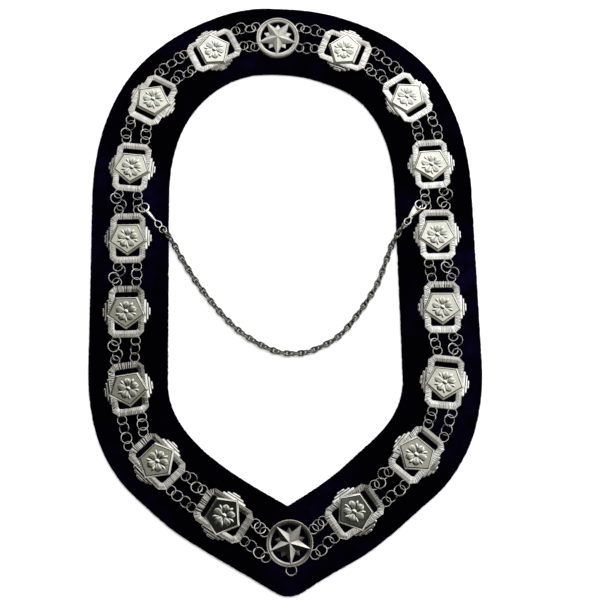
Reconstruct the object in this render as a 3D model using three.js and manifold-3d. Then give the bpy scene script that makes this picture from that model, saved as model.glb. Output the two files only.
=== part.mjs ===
// Ceremonial chain collar lying flat: a velvet neck band, sixteen pierced plaques and two star
// medallions joined by double strands of jump rings, and a neck chain with two clasps.
// Millimetres, +Z up. The back of the velvet is z = 0, +Y points to the back of the neck.
import * as THREE from 'three';
import { mergeVertices } from 'three/addons/utils/BufferGeometryUtils.js';
import Module from 'manifold-3d';

const wasm = await Module();
wasm.setup();

// Velvet band, as half widths from the middle line
const VELVET_THICK = 3.0;
const ARCH_Y = 90.5;
const OUTER_EDGE = { half: 194.4, rise: 214.4, power: 2.25, sideEnd: -80, fall: 127, run: 120, slope: 31.6 };
const INNER_EDGE = { half: 115.3, rise: 138.4, power: 2.4, sideEnd: -97.4, fall: 55, run: 58.6, slope: 30.2 };
const OUTER_TIP = { x: 13.9, y: -300.6, apexY: -309.15 };
const INNER_TIP_Y = -219.8;
// Uneven places of the edges: end of the band (1 back, -1 front), middle, reach and rise
const OUTER_UNEVEN = [
  [1, -32, 42, 3.2], [1, 88, 42, -2.4], [1, 162, 20, 2.8], [1, -165, 28, 2.3],
  [-1, 72, 25, -2.5], [-1, 127, 18, 2.2], [-1, -138, 18, 2.2],
];
const INNER_UNEVEN = [[1, -35, 40, 2.8], [1, 50, 28, -2.8], [-1, 74, 26, 4.0]];
const UNEVEN_FADE = 120;
const ARCH_STEPS = 16;
const EDGE_STEPS = 11;

// Heights
const AIR = 0.3;
const LOOP_Z = 6.6;
const FRAME_BACK = 5.7;
const FRAME_FRONT = 7.5;
const PLAQUE_FRONT = 9.0;

// Plaque medallion
const FRAME = { width: 35.5, length: 53.3, corner: 5.8, window: 23.5, windowEnd: 19.5 };
const PENTAGON = { flatY: 14.9, flatHalf: 11, sideY: -4.2, sideHalf: 19.6, tipY: -18.5, lip: 0.4 };
const WING_TOP = 7.0;
const WING_TIERS = [
  { reach: 20.0, half: 12.5 },
  { reach: 22.1, half: 9.2 },
  { reach: 24.1, half: 3.6 },
];

// Star medallion
const HOOP = { outer: 22.7, inner: 17.8, outerTop: 22.1, crest: 20.9, top: 7.9, lip: 6.0, sides: 20 };
const STAR = { tip: 20.3, notch: 8.8, back: 5.4, tipEdge: 7.7, notchEdge: 6.5, peak: 9.4 };
const RAYS = { tip: 15, notch: 9.0, back: 5.4, tipEdge: 5.9, notchEdge: 5.7, peak: 7.0 };
const STAR_POINTS = 5;
const STAR_BACK = { x: -1.4, y: 271.0, turn: -2.5 };
const STAR_FRONT = { x: 1.4, y: -255.7, turn: 2.1 };
const STAR_LOOP_ANGLE = 27;

// Jump rings, measured to the middle of the wire
const WIRE = 0.6;
const WIRE_SIDES = 5;
const RING_SIDES = 10;
const LOOP_RADIUS = 4.5;
const LOOP_SPREAD = 9.7;
const LOOP_REACH = 3.5;
const LOOP_GAP_ANGLE = 24;
const PENDANT = { radius: 4.9, reach: 2.3, gapAngle: 40 };

// Plaques from the back of the neck down: middle point, turn, and which way the flat points.
// The left-hand rows are written as their mirror image.
const PLAQUE_ROWS = {
  right: [
    { x: 68.9, y: 254.4, turn: 67.5, flat: -1 },
    { x: 132.7, y: 198.9, turn: 31.8, flat: -1 },
    { x: 154.0, y: 124.3, turn: 2.7, flat: 1 },
    { x: 156.3, y: 48.3, turn: -0.4, flat: 1 },
    { x: 157.6, y: -27.5, turn: -1.1, flat: 1 },
    { x: 156.1, y: -103.4, turn: -7.6, flat: 1 },
    { x: 125.2, y: -174.0, turn: -41.4, flat: 1 },
    { x: 63.7, y: -227.2, turn: -56.6, flat: 1 },
  ],
  left: [
    { x: 68.8, y: 257.6, turn: 64.5, flat: -1 },
    { x: 132.5, y: 202.2, turn: 29.0, flat: -1 },
    { x: 153.4, y: 128.0, turn: 6.6, flat: 1 },
    { x: 156.5, y: 51.7, turn: 0.0, flat: 1 },
    { x: 157.0, y: -25.0, turn: -0.1, flat: 1 },
    { x: 153.8, y: -103.1, turn: -7.6, flat: 1 },
    { x: 125.1, y: -174.9, turn: -43.5, flat: 1 },
    { x: 61.3, y: -228.3, turn: -56.6, flat: 1 },
  ],
};

// Strands of jump rings between neighbours
const STRAND_RADIUS = 1.0;
const STRAND_INSET = 1.5;
const STRAND_Z = LOOP_Z + WIRE + AIR + STRAND_RADIUS;
const RANKS = ['outer', 'inner'];

// Neck chain and its clasps
const CHAIN_RADIUS = 2.0;
const CHAIN_SIDES = 8;
const CHAIN_STEPS = 26;
const CHAIN_ROUTE = [
  { x: -123.4, y: 63.6, z: 5.85 },
  { x: -120.0, y: 60.1, z: 5.85 },
  { x: -114.7, y: 52.2, z: 5.75 },
  { x: -109.3, y: 43.6, z: 4.3 },
  { x: -102.0, y: 29.5, z: 2.3 },
  { x: -79.7, y: -6.0, z: 2.3 },
  { x: -48.0, y: -43.6, z: 2.3 },
  { x: -13.9, y: -65.9, z: 2.3 },
  { x: 12.1, y: -70.6, z: 2.3 },
  { x: 35.0, y: -64.8, z: 2.3 },
  { x: 60.3, y: -48.0, z: 2.3 },
  { x: 90.6, y: -7.3, z: 2.3 },
  { x: 103.5, y: 22.0, z: 2.3 },
  { x: 109.6, y: 37.6, z: 4.3 },
  { x: 115.3, y: 47.9, z: 5.75 },
  { x: 121.0, y: 55.8, z: 5.85 },
  { x: 124.6, y: 60.2, z: 5.85 },
];
const CLASP = { loopPlaque: 3, radius: 5.4, wire: 0.85, lift: 1.95 };
const CLASP_CLAWS = { right: { x: 141.1, y: 80.5 }, left: { x: 141.0, y: 83.8 } };
const CLASP_EYES = { right: { x: 127.1, y: 63.3 }, left: { x: 126.2, y: 66.2 } };
const CLASP_EYE = { z: 4.7, radius: 2.6, wire: 0.7 };
const CLASP_BODY = { thin: 1.0, thick: 1.5, sides: 6 };

const velvetMaterial = new THREE.MeshStandardMaterial({ color: 0x0b0a1a, roughness: 0.95, metalness: 0 });
const plaqueMaterial = new THREE.MeshStandardMaterial({ color: 0xb4b4a4, roughness: 0.35, metalness: 1 });
const ringMaterial = new THREE.MeshStandardMaterial({ color: 0xc8c8c2, roughness: 0.25, metalness: 1 });
const chainMaterial = new THREE.MeshStandardMaterial({ color: 0x3c3d40, roughness: 0.4, metalness: 1 });

const radians = THREE.MathUtils.degToRad;

function solid(geometry) {
  const bare = geometry.clone();
  bare.deleteAttribute('normal');
  bare.deleteAttribute('uv');
  const merged = mergeVertices(bare, 1e-4);
  const corners = new Float32Array(merged.attributes.position.array);
  const triangles = new Uint32Array(merged.index.array);
  return new wasm.Manifold(new wasm.Mesh({ numProp: 3, vertProperties: corners, triVerts: triangles }));
}

function fused(geometries) {
  let whole = solid(geometries[0]);
  for (const geometry of geometries.slice(1)) {
    whole = whole.add(solid(geometry));
  }
  const mesh = whole.getMesh();
  const result = new THREE.BufferGeometry();
  result.setAttribute('position', new THREE.BufferAttribute(new Float32Array(mesh.vertProperties), 3));
  result.setIndex(new THREE.BufferAttribute(new Uint32Array(mesh.triVerts), 1));
  return result;
}

function piece(name, geometry, material) {
  const flat = geometry.index ? geometry.toNonIndexed() : geometry;
  flat.computeVertexNormals();
  const mesh = new THREE.Mesh(flat, material.clone());
  mesh.name = name;
  return mesh;
}

function plate(shape, zLow, zHigh) {
  const body = new THREE.ExtrudeGeometry(shape, { depth: zHigh - zLow, bevelEnabled: false });
  return body.translate(0, 0, zLow);
}

// Half of a band edge: a rounded arch, a straight side and a curve falling to the middle line
function halfEdge(edge, endX, endY) {
  const points = [];
  for (let step = 0; step <= ARCH_STEPS; step += 1) {
    const angle = (step / ARCH_STEPS) * (Math.PI / 2);
    const x = edge.half * Math.sin(angle) ** (2 / edge.power);
    const y = ARCH_Y + edge.rise * Math.cos(angle) ** (2 / edge.power);
    points.push(new THREE.Vector2(x, y));
  }
  const start = new THREE.Vector2(edge.half, edge.sideEnd);
  const end = new THREE.Vector2(endX, endY);
  const lean = radians(edge.slope);
  const curve = new THREE.CubicBezierCurve(
    start,
    new THREE.Vector2(edge.half, edge.sideEnd - edge.fall),
    new THREE.Vector2(endX + edge.run * Math.cos(lean), endY + edge.run * Math.sin(lean)),
    end,
  );
  points.push(...curve.getPoints(EDGE_STEPS));
  return points;
}

function mirrored(points) {
  const inside = points.filter((point) => point.x > 0.01);
  return inside.reverse().map((point) => new THREE.Vector2(-point.x, point.y));
}

// Raises the points of an edge at its uneven places
function uneven(points, places) {
  return points.map((point) => {
    const weight = Math.min(Math.abs(point.y) / UNEVEN_FADE, 1);
    let rise = 0;
    for (const [end, middle, reach, height] of places) {
      if (end * point.y > 0) rise += weight * height * Math.exp(-(((point.x - middle) / reach) ** 2));
    }
    return new THREE.Vector2(point.x, point.y + rise);
  });
}

function velvetBand() {
  const outerHalf = halfEdge(OUTER_EDGE, OUTER_TIP.x, OUTER_TIP.y);
  const tip = new THREE.QuadraticBezierCurve(
    new THREE.Vector2(OUTER_TIP.x, OUTER_TIP.y),
    new THREE.Vector2(0, OUTER_TIP.apexY),
    new THREE.Vector2(-OUTER_TIP.x, OUTER_TIP.y),
  );
  const outline = [...outerHalf, ...tip.getPoints(4).slice(1, 4), ...mirrored(outerHalf)];
  const innerHalf = halfEdge(INNER_EDGE, 0, INNER_TIP_Y);
  const opening = [...innerHalf, ...mirrored(innerHalf)];
  const band = new THREE.Shape(uneven(outline, OUTER_UNEVEN));
  band.holes.push(new THREE.Path(uneven(opening, INNER_UNEVEN).reverse()));
  return plate(band, 0, VELVET_THICK);
}

class LoopArc extends THREE.Curve {
  constructor(radius, gapAngle) {
    super();
    this.radius = radius;
    this.gap = radians(gapAngle);
  }

  getPoint(t, target = new THREE.Vector3()) {
    const angle = this.gap + t * 2 * (Math.PI - this.gap);
    return target.set(this.radius * Math.sin(angle), -this.radius * Math.cos(angle), 0);
  }
}

function wireSection(radius, sides) {
  const corners = [];
  for (let side = 0; side < sides; side += 1) {
    const angle = (side / sides) * 2 * Math.PI;
    corners.push(new THREE.Vector2(radius * Math.cos(angle), radius * Math.sin(angle)));
  }
  return new THREE.Shape(corners);
}

// A ring soldered by its open side to an edge that lies toward local -Y
function solderedLoop(x, y, turn, radius = LOOP_RADIUS, gapAngle = LOOP_GAP_ANGLE) {
  const loop = new THREE.ExtrudeGeometry(wireSection(WIRE, WIRE_SIDES), {
    steps: 8,
    extrudePath: new LoopArc(radius, gapAngle),
  });
  return loop.rotateZ(turn).translate(x, y, LOOP_Z);
}

function outlineShape(corners, flat) {
  const turned = corners.map(([x, y]) => new THREE.Vector2(x * flat, y * flat));
  return new THREE.Shape(turned);
}

// Octagon frame joined to the pentagon that crosses it, which leaves a slot and a notched opening
function frameShape(flat) {
  const half = FRAME.width / 2;
  const end = FRAME.length / 2;
  const cut = FRAME.corner;
  const side = FRAME.window / 2;
  const notchY = PENTAGON.sideY + (PENTAGON.tipY - PENTAGON.sideY) * (1 - side / PENTAGON.sideHalf);
  const frame = outlineShape([
    [half, -end + cut], [half, end - cut], [half - cut, end], [-half + cut, end],
    [-half, end - cut], [-half, -end + cut], [-half + cut, -end], [half - cut, -end],
  ], flat);
  frame.holes.push(outlineShape([
    [-side, PENTAGON.flatY], [-side, FRAME.windowEnd], [side, FRAME.windowEnd], [side, PENTAGON.flatY],
  ], flat));
  frame.holes.push(outlineShape([
    [-side, -FRAME.windowEnd], [-side, notchY], [0, PENTAGON.tipY], [side, notchY], [side, -FRAME.windowEnd],
  ], flat));
  return frame;
}

function pentagonShape(flat) {
  const inner = 1 - PENTAGON.lip / PENTAGON.sideHalf;
  return outlineShape([
    [PENTAGON.flatHalf * inner, PENTAGON.flatY - PENTAGON.lip],
    [-PENTAGON.flatHalf * inner, PENTAGON.flatY - PENTAGON.lip],
    [-PENTAGON.sideHalf * inner, PENTAGON.sideY],
    [0, PENTAGON.tipY + PENTAGON.lip],
    [PENTAGON.sideHalf * inner, PENTAGON.sideY],
  ], flat);
}

// Stepped wing standing on the velvet beside the frame
function wing(side) {
  const upper = [];
  let inward = FRAME.width / 2 - AIR;
  for (const tier of WING_TIERS) {
    upper.push([side * inward, tier.half], [side * tier.reach, tier.half]);
    inward = tier.reach;
  }
  const lower = upper.map(([x, y]) => [x, -y]).reverse();
  return plate(outlineShape([...upper, ...lower], 1), VELVET_THICK + AIR, WING_TOP);
}

function plaqueSolid(flat) {
  const end = FRAME.length / 2;
  const bodies = [
    plate(frameShape(flat), FRAME_BACK, FRAME_FRONT),
    plate(pentagonShape(flat), FRAME_FRONT - AIR, PLAQUE_FRONT),
    wing(1),
    wing(-1),
  ];
  for (const across of [-LOOP_SPREAD, LOOP_SPREAD]) {
    bodies.push(solderedLoop(across, end + LOOP_REACH, 0));
    bodies.push(solderedLoop(across, -end - LOOP_REACH, Math.PI));
  }
  return fused(bodies);
}

// A star with a flat back, thin edges and a ridge along each point
function ridgedStar(size, turn) {
  const count = 2 * STAR_POINTS;
  const corners = [0, 0, size.back, 0, 0, size.peak];
  for (let index = 0; index < count; index += 1) {
    const radius = index % 2 === 0 ? size.tip : size.notch;
    const angle = turn + (index / count) * 2 * Math.PI;
    const x = radius * Math.cos(angle);
    const y = radius * Math.sin(angle);
    corners.push(x, y, size.back, x, y, index % 2 === 0 ? size.tipEdge : size.notchEdge);
  }
  const triangles = [];
  for (let index = 0; index < count; index += 1) {
    const low = 2 + 2 * index;
    const next = 2 + 2 * ((index + 1) % count);
    triangles.push(0, next, low);
    triangles.push(1, low + 1, next + 1);
    triangles.push(low, next, next + 1, low, next + 1, low + 1);
  }
  const star = new THREE.BufferGeometry();
  star.setAttribute('position', new THREE.Float32BufferAttribute(corners, 3));
  star.setIndex(triangles);
  return star;
}

function hoop() {
  const base = VELVET_THICK + AIR;
  const ring = new THREE.LatheGeometry([
    new THREE.Vector2(HOOP.inner, base),
    new THREE.Vector2(HOOP.outer, base),
    new THREE.Vector2(HOOP.outerTop, HOOP.top),
    new THREE.Vector2(HOOP.crest, HOOP.top),
    new THREE.Vector2(HOOP.inner, HOOP.lip),
    new THREE.Vector2(HOOP.inner, base),
  ], HOOP.sides);
  return ring.rotateX(Math.PI / 2);
}

function starSolid(withPendant) {
  const down = -Math.PI / 2;
  const bodies = [hoop(), ridgedStar(STAR, down), ridgedStar(RAYS, down + Math.PI / STAR_POINTS)];
  const reach = HOOP.outer + LOOP_REACH;
  for (const degrees of [STAR_LOOP_ANGLE, 180 - STAR_LOOP_ANGLE, 180 + STAR_LOOP_ANGLE, -STAR_LOOP_ANGLE]) {
    const angle = radians(degrees);
    bodies.push(solderedLoop(reach * Math.cos(angle), reach * Math.sin(angle), angle - Math.PI / 2));
  }
  if (withPendant) {
    const fall = HOOP.outer + PENDANT.reach;
    bodies.push(solderedLoop(0, -fall, Math.PI, PENDANT.radius, PENDANT.gapAngle));
  }
  return fused(bodies);
}

function plaquePoint(row, across, along) {
  const turn = radians(row.turn);
  return new THREE.Vector2(
    row.x + across * Math.cos(turn) - along * Math.sin(turn),
    row.y + across * Math.sin(turn) + along * Math.cos(turn),
  );
}

// Middle point of a star's soldered loop, in the mirror image on the left
function starPoint(star, side, rise) {
  const reach = HOOP.outer + LOOP_REACH;
  const angle = side.sign * radians(star.turn) + rise * radians(STAR_LOOP_ANGLE);
  return new THREE.Vector2(side.sign * star.x + reach * Math.cos(angle), star.y + reach * Math.sin(angle));
}

// Middle points of the two soldered loops that each strand joins, in the mirror image on the left
function strandEnds(rank, gap, side) {
  const rows = PLAQUE_ROWS[side.name];
  const outward = rank === 'outer' ? 1 : -1;
  const along = FRAME.length / 2 + LOOP_REACH;
  const first = gap === 0
    ? starPoint(STAR_BACK, side, outward)
    : plaquePoint(rows[gap - 1], outward * LOOP_SPREAD, -along);
  const last = gap === rows.length
    ? starPoint(STAR_FRONT, side, -outward)
    : plaquePoint(rows[gap], outward * LOOP_SPREAD, along);
  return { first, last };
}

// How steeply a ring must lean to pass over and under a flat loop whose middle is this far off
function leanFor(distance, radius, lift) {
  const crossing = (distance ** 2 + LOOP_RADIUS ** 2 - radius ** 2) / (2 * distance);
  return lift / Math.sqrt(LOOP_RADIUS ** 2 - crossing ** 2);
}

// A ring whose plane climbs by (climbX, climbY) for each millimetre along X and Y
function leaningRing(radius, wire, x, y, z, climbX, climbY) {
  const ring = new THREE.TorusGeometry(radius, wire, WIRE_SIDES, RING_SIDES);
  const up = new THREE.Vector3(0, 0, 1);
  const normal = new THREE.Vector3(-climbX, -climbY, 1).normalize();
  ring.applyQuaternion(new THREE.Quaternion().setFromUnitVectors(up, normal));
  return ring.translate(x, y, z);
}

// A strand of jump rings as one straight run laid over the two loops that it joins
function strandSolid(rank, gap, side) {
  const { first, last } = strandEnds(rank, gap, side);
  const inset = last.clone().sub(first).setLength(STRAND_INSET);
  first.add(inset);
  last.sub(inset);
  const route = new THREE.LineCurve3(
    new THREE.Vector3(side.sign * first.x, first.y, STRAND_Z),
    new THREE.Vector3(side.sign * last.x, last.y, STRAND_Z),
  );
  return new THREE.ExtrudeGeometry(wireSection(STRAND_RADIUS, CHAIN_SIDES), { steps: 1, extrudePath: route });
}

function neckChain() {
  const route = new THREE.CatmullRomCurve3(CHAIN_ROUTE.map((row) => new THREE.Vector3(row.x, row.y, row.z)));
  return new THREE.ExtrudeGeometry(wireSection(CHAIN_RADIUS, CHAIN_SIDES), {
    steps: CHAIN_STEPS,
    extrudePath: route,
  });
}

// Claw through the inner loop of the fourth plaque, a tapered body and an eye for the chain
function claspSolid(side) {
  const { sign } = side;
  const row = PLAQUE_ROWS[side.name][CLASP.loopPlaque];
  const loop = plaquePoint(row, -LOOP_SPREAD, FRAME.length / 2 + LOOP_REACH);
  const claw = new THREE.Vector2(CLASP_CLAWS[side.name].x, CLASP_CLAWS[side.name].y);
  const eye = CLASP_EYES[side.name];
  const away = claw.clone().sub(loop);
  const lean = leanFor(away.length(), CLASP.radius, CLASP.lift);
  away.normalize();
  const climb = new THREE.Vector2(-away.y, away.x).multiplyScalar(lean);
  const toEye = new THREE.Vector2(eye.x, eye.y).sub(claw).normalize();
  const slope = climb.dot(toEye);
  const reach = CLASP.radius / Math.hypot(1, slope);
  const start = new THREE.Vector3(
    sign * (claw.x + toEye.x * reach),
    claw.y + toEye.y * reach,
    LOOP_Z + slope * reach,
  );
  const stop = new THREE.Vector3(
    sign * (eye.x - toEye.x * CLASP_EYE.radius),
    eye.y - toEye.y * CLASP_EYE.radius,
    CLASP_EYE.z,
  );
  const axis = stop.clone().sub(start);
  const rod = new THREE.CylinderGeometry(CLASP_BODY.thin, CLASP_BODY.thick, axis.length(), CLASP_BODY.sides);
  const lengthwise = new THREE.Vector3(0, 1, 0);
  rod.applyQuaternion(new THREE.Quaternion().setFromUnitVectors(lengthwise, axis.clone().normalize()));
  const middle = start.clone().add(stop).multiplyScalar(0.5);
  rod.translate(middle.x, middle.y, middle.z);
  return fused([
    leaningRing(CLASP.radius, CLASP.wire, sign * claw.x, claw.y, LOOP_Z, sign * climb.x, climb.y),
    rod,
    leaningRing(CLASP_EYE.radius, CLASP_EYE.wire, sign * eye.x, eye.y, CLASP_EYE.z, 0, 0),
  ]);
}

const collar = new THREE.Group();
collar.name = 'chain_collar';
collar.add(piece('velvet_band', velvetBand(), velvetMaterial));

const sides = [{ name: 'right', sign: 1 }, { name: 'left', sign: -1 }];
const plaques = { 1: plaqueSolid(1), '-1': plaqueSolid(-1) };
for (const side of sides) {
  PLAQUE_ROWS[side.name].forEach((row, index) => {
    const body = plaques[row.flat].clone();
    body.rotateZ(side.sign * radians(row.turn)).translate(side.sign * row.x, row.y, 0);
    collar.add(piece(`plaque_${side.name}_${index + 1}`, body, plaqueMaterial));
  });
}
for (const [name, star] of [['star_back', STAR_BACK], ['star_front', STAR_FRONT]]) {
  const body = starSolid(star === STAR_FRONT).rotateZ(radians(star.turn)).translate(star.x, star.y, 0);
  collar.add(piece(name, body, plaqueMaterial));
}

for (const side of sides) {
  for (const rank of RANKS) {
    for (let gap = 0; gap <= PLAQUE_ROWS[side.name].length; gap += 1) {
      const strand = strandSolid(rank, gap, side);
      collar.add(piece(`links_${side.name}_${rank}_${gap + 1}`, strand, ringMaterial));
    }
  }
}

collar.add(piece('neck_chain', neckChain(), chainMaterial));
for (const side of sides) {
  collar.add(piece(`clasp_${side.name}`, claspSolid(side), ringMaterial));
}

export default collar;
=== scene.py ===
"""Looks of a ceremonial chain collar: a black velvet band that lies flat and carries sixteen
silvered plaques and two star medallions on double strands of jump rings, with a fine neck chain
clasped across the neck opening. Sizes are in millimetres, and +Y points to the back of the neck.
"""

import logging
import math
import random
from dataclasses import dataclass, replace
from enum import Enum, IntEnum
from functools import cache

import bmesh
import bpy
from mathutils import Matrix, Quaternion, Vector, noise


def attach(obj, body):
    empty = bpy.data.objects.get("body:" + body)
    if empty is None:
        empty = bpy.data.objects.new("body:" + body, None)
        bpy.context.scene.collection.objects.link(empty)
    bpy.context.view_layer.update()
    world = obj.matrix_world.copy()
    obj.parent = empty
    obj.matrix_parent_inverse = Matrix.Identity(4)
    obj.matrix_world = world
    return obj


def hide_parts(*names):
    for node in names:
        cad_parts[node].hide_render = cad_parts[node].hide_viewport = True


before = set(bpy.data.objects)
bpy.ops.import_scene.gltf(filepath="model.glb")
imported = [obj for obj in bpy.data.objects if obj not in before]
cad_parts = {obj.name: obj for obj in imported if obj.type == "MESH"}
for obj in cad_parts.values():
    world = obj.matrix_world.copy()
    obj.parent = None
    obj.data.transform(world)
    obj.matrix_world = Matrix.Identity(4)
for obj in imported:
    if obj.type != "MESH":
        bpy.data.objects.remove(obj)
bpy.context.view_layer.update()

MM = 0.001
BODY = "root"
FULL_TURN = 2.0 * math.pi
LOOP_HEIGHT = 6.6

Pair = tuple[float, float]
Triple = tuple[float, float, float]
Quad = tuple[float, float, float, float]
Socket = bpy.types.NodeSocket
Material = bpy.types.Material

log = logging.getLogger("collar")


class Side(Enum):
    """Which half of the collar, as the sign of X."""

    RIGHT = 1
    LEFT = -1

    @property
    def label(self) -> str:
        """Name of the side in the names of pieces."""
        return self.name.lower()


class Rank(Enum):
    """Which of two side-by-side strands, as the sign of the way out from the neck."""

    OUTER = 1
    INNER = -1


class Slot(Enum):
    """Names of the material slots."""

    VELVET = "velvet"
    PLAQUE = "plaque_metal"
    RING = "ring_metal"
    CHAIN = "chain_metal"


class Layer(IntEnum):
    """Number of a piece's material: its main one, its loops' wire or back, and its frame."""

    MAIN = 0
    WIRE = 1
    FRAME = 2


def up(height: float) -> Vector:
    """Gives a step straight up."""
    return Vector((0.0, 0.0, height))


def beside(way: Vector) -> Vector:
    """Gives the level step to the left of a way."""
    return Vector((-way.y, way.x, 0.0))


def spoke(angle: float, radius: float = 1.0, height: float = 0.0) -> Vector:
    """Gives the point at an angle and a radius round the Z axis."""
    return Vector((radius * math.cos(angle), radius * math.sin(angle), height))


def turns(count: int, start: float = 0.0) -> list[float]:
    """Divides a full turn into equal angles."""
    return [start + FULL_TURN * step / count for step in range(count)]


def add_object(name: str, data: bpy.types.ID) -> bpy.types.Object:
    """Makes an object and links it to the scene.

    Args:
        name: The object's name.
        data: Its mesh, light or camera.

    Returns:
        The object.
    """
    made = bpy.data.objects.new(name, data)
    bpy.context.scene.collection.objects.link(made)
    return made


# ---------------------------------------------------------------------------------------------
# Nodes

SOCKET_KINDS = {float: "NodeSocketFloat", int: "NodeSocketInt", tuple: "NodeSocketColor"}


class NodeBoard:
    """Adds nodes to a tree and links them, for shaders and for geometry."""

    columns = 12
    stride = (180, -220)

    def __init__(self, tree: bpy.types.NodeTree) -> None:
        """Keeps the tree that the nodes go to."""
        self.tree = tree

    def fill(self, node: bpy.types.Node, inputs: dict) -> None:
        """Gives a node's inputs their values, or links them where the value is a socket.

        Args:
            node: The node.
            inputs: Socket name or number to a value, or to an output socket to link from.
        """
        for key, value in inputs.items():
            if isinstance(value, Socket):
                self.tree.links.new(value, node.inputs[key])
            else:
                node.inputs[key].default_value = value

    def add(self, kind: str, inputs: dict | None = None, **settings: object) -> bpy.types.Node:
        """Adds one node.

        Args:
            kind: Blender's type name of the node.
            inputs: Socket name or number to a value, or to an output socket to link from.
            **settings: Properties of the node, set before its inputs.

        Returns:
            The new node.
        """
        node = self.tree.nodes.new(kind)
        row, column = divmod(len(self.tree.nodes), self.columns)
        node.location = (self.stride[0] * column, self.stride[1] * row)
        for key, value in settings.items():
            setattr(node, key, value)
        self.fill(node, inputs or {})
        return node

    def maths(self, operation: str, first: object, second: object) -> Socket:
        """Adds a Math node and returns its result."""
        return self.add("ShaderNodeMath", {0: first, 1: second}, operation=operation).outputs[0]

    def blend(self, factor: Socket, first: object, second: object) -> Socket:
        """Adds a colour Mix node and returns its result."""
        inputs = {0: factor, 6: first, 7: second}
        return self.add("ShaderNodeMix", inputs, data_type="RGBA").outputs[2]

    def span(self, value: Socket, source: Pair, low: object = 0.0, high: object = 1.0) -> Socket:
        """Maps the source range of a value to low and high, with a Map Range node."""
        inputs = {"Value": value, "From Min": source[0], "From Max": source[1]}
        return self.add("ShaderNodeMapRange", inputs | {"To Min": low, "To Max": high}).outputs[0]

    def noise(
        self, place: Socket, scale: object, detail: float, dimensions: str = "3D", **more: float
    ) -> Socket:
        """Adds a noise texture.

        Args:
            place: Where the texture is read.
            scale: Its scale, as a value or a socket.
            detail: Number of its finer layers.
            dimensions: Whether it is 2D or 3D.
            **more: Its other inputs, by their lower-case names.

        Returns:
            The texture's value.
        """
        inputs = {"Vector": place, "Scale": scale, "Detail": detail}
        inputs |= {key.title(): value for key, value in more.items()}
        made = self.add("ShaderNodeTexNoise", inputs, noise_dimensions=dimensions)
        return made.outputs["Fac"]

    def bump(self, height: Socket, strength: float, depth: float) -> Socket:
        """Adds a Bump node, its depth in millimetres, and returns its normal."""
        inputs = {"Height": height, "Strength": strength, "Distance": depth * MM}
        return self.add("ShaderNodeBump", inputs).outputs["Normal"]

    def place(self) -> Socket:
        """Adds the coordinates that go with the object."""
        return self.add("ShaderNodeTexCoord").outputs["Object"]


def new_group(
    name: str, kind: str, inputs: dict[str, object], outputs: dict[str, str]
) -> tuple[NodeBoard, bpy.types.NodeOutputs, bpy.types.Node]:
    """Starts a node group with named sockets.

    Args:
        name: The group's name.
        kind: ShaderNodeTree or GeometryNodeTree.
        inputs: Socket name to its default value, or to its type if it has no default.
        outputs: Socket name to its type.

    Returns:
        A board on the group's tree, the group's inputs and its output node.
    """
    tree = bpy.data.node_groups.new(name, kind)
    for label, default in inputs.items():
        bare = isinstance(default, str)
        socket_type = default if bare else SOCKET_KINDS[type(default)]
        socket = tree.interface.new_socket(label, in_out="INPUT", socket_type=socket_type)
        if not bare:
            socket.default_value = default
    for label, socket_type in outputs.items():
        tree.interface.new_socket(label, in_out="OUTPUT", socket_type=socket_type)
    board = NodeBoard(tree)
    return board, board.add("NodeGroupInput").outputs, board.add("NodeGroupOutput")


def opaque(colour: Triple) -> Quad:
    """Gives a colour its alpha."""
    return (*colour, 1.0)


@cache
def tarnish_group() -> bpy.types.NodeTree:
    """Makes the shared group that clouds a metal and darkens its hollows. Low polish darkens it
    both as oxide in real hollows and as painted shade where it is set low for light, and on the
    chain its link-sized clouds are painted glints.

    Returns:
        The shader group, with Color and Roughness outputs.
    """
    board, given, result = new_group(
        "tarnish",
        "ShaderNodeTree",
        {
            "Vector": "NodeSocketVector",
            "Polish": 1.0,
            "Clean": (0.8, 0.8, 0.8, 1.0),
            "Dark": (0.1, 0.1, 0.1, 1.0),
            "Cloud And Glint Scale": 60.0,
            "Cloud Amount": 0.3,
            "Hollow Amount": 0.8,
            "Smoothest": 0.2,
            "Roughest": 0.5,
        },
        {"Color": "NodeSocketColor", "Roughness": "NodeSocketFloat"},
    )
    cloud_range, speck_range, speck_fineness, speck_share = (0.35, 0.7), (0.4, 0.7), 14.0, 0.35
    # Clouds of tarnish; on the chain, at the size of a link, they are painted glints of bright and
    # black specks.
    cloud_and_glint = board.noise(given["Vector"], given["Cloud And Glint Scale"], detail=5.0, roughness=0.6)
    speck_scale = board.maths("MULTIPLY", given["Cloud And Glint Scale"], speck_fineness)
    speck = board.noise(given["Vector"], speck_scale, detail=2.0)
    cloud_and_glint_share = board.maths("MULTIPLY", board.span(cloud_and_glint, cloud_range), given["Cloud Amount"])
    wear_and_shade = board.maths("SUBTRACT", 1.0, given["Polish"])
    # Low polish darkens the colour: oxide in real hollows, and painted shade where a piece's
    # polish is set low for light.
    hollow_and_shade = board.maths("MULTIPLY", wear_and_shade, given["Hollow Amount"])
    dull_and_shaded = board.maths("MINIMUM", board.maths("ADD", cloud_and_glint_share, hollow_and_shade), 1.0)
    grit = board.maths("MULTIPLY", board.span(speck, speck_range), speck_share)
    rough = board.maths("MINIMUM", board.maths("ADD", dull_and_shaded, grit), 1.0)
    roughness = board.span(rough, (0.0, 1.0), given["Smoothest"], given["Roughest"])
    colour = board.blend(dull_and_shaded, given["Clean"], given["Dark"])
    board.fill(result, {"Color": colour, "Roughness": roughness})
    return board.tree


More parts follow.
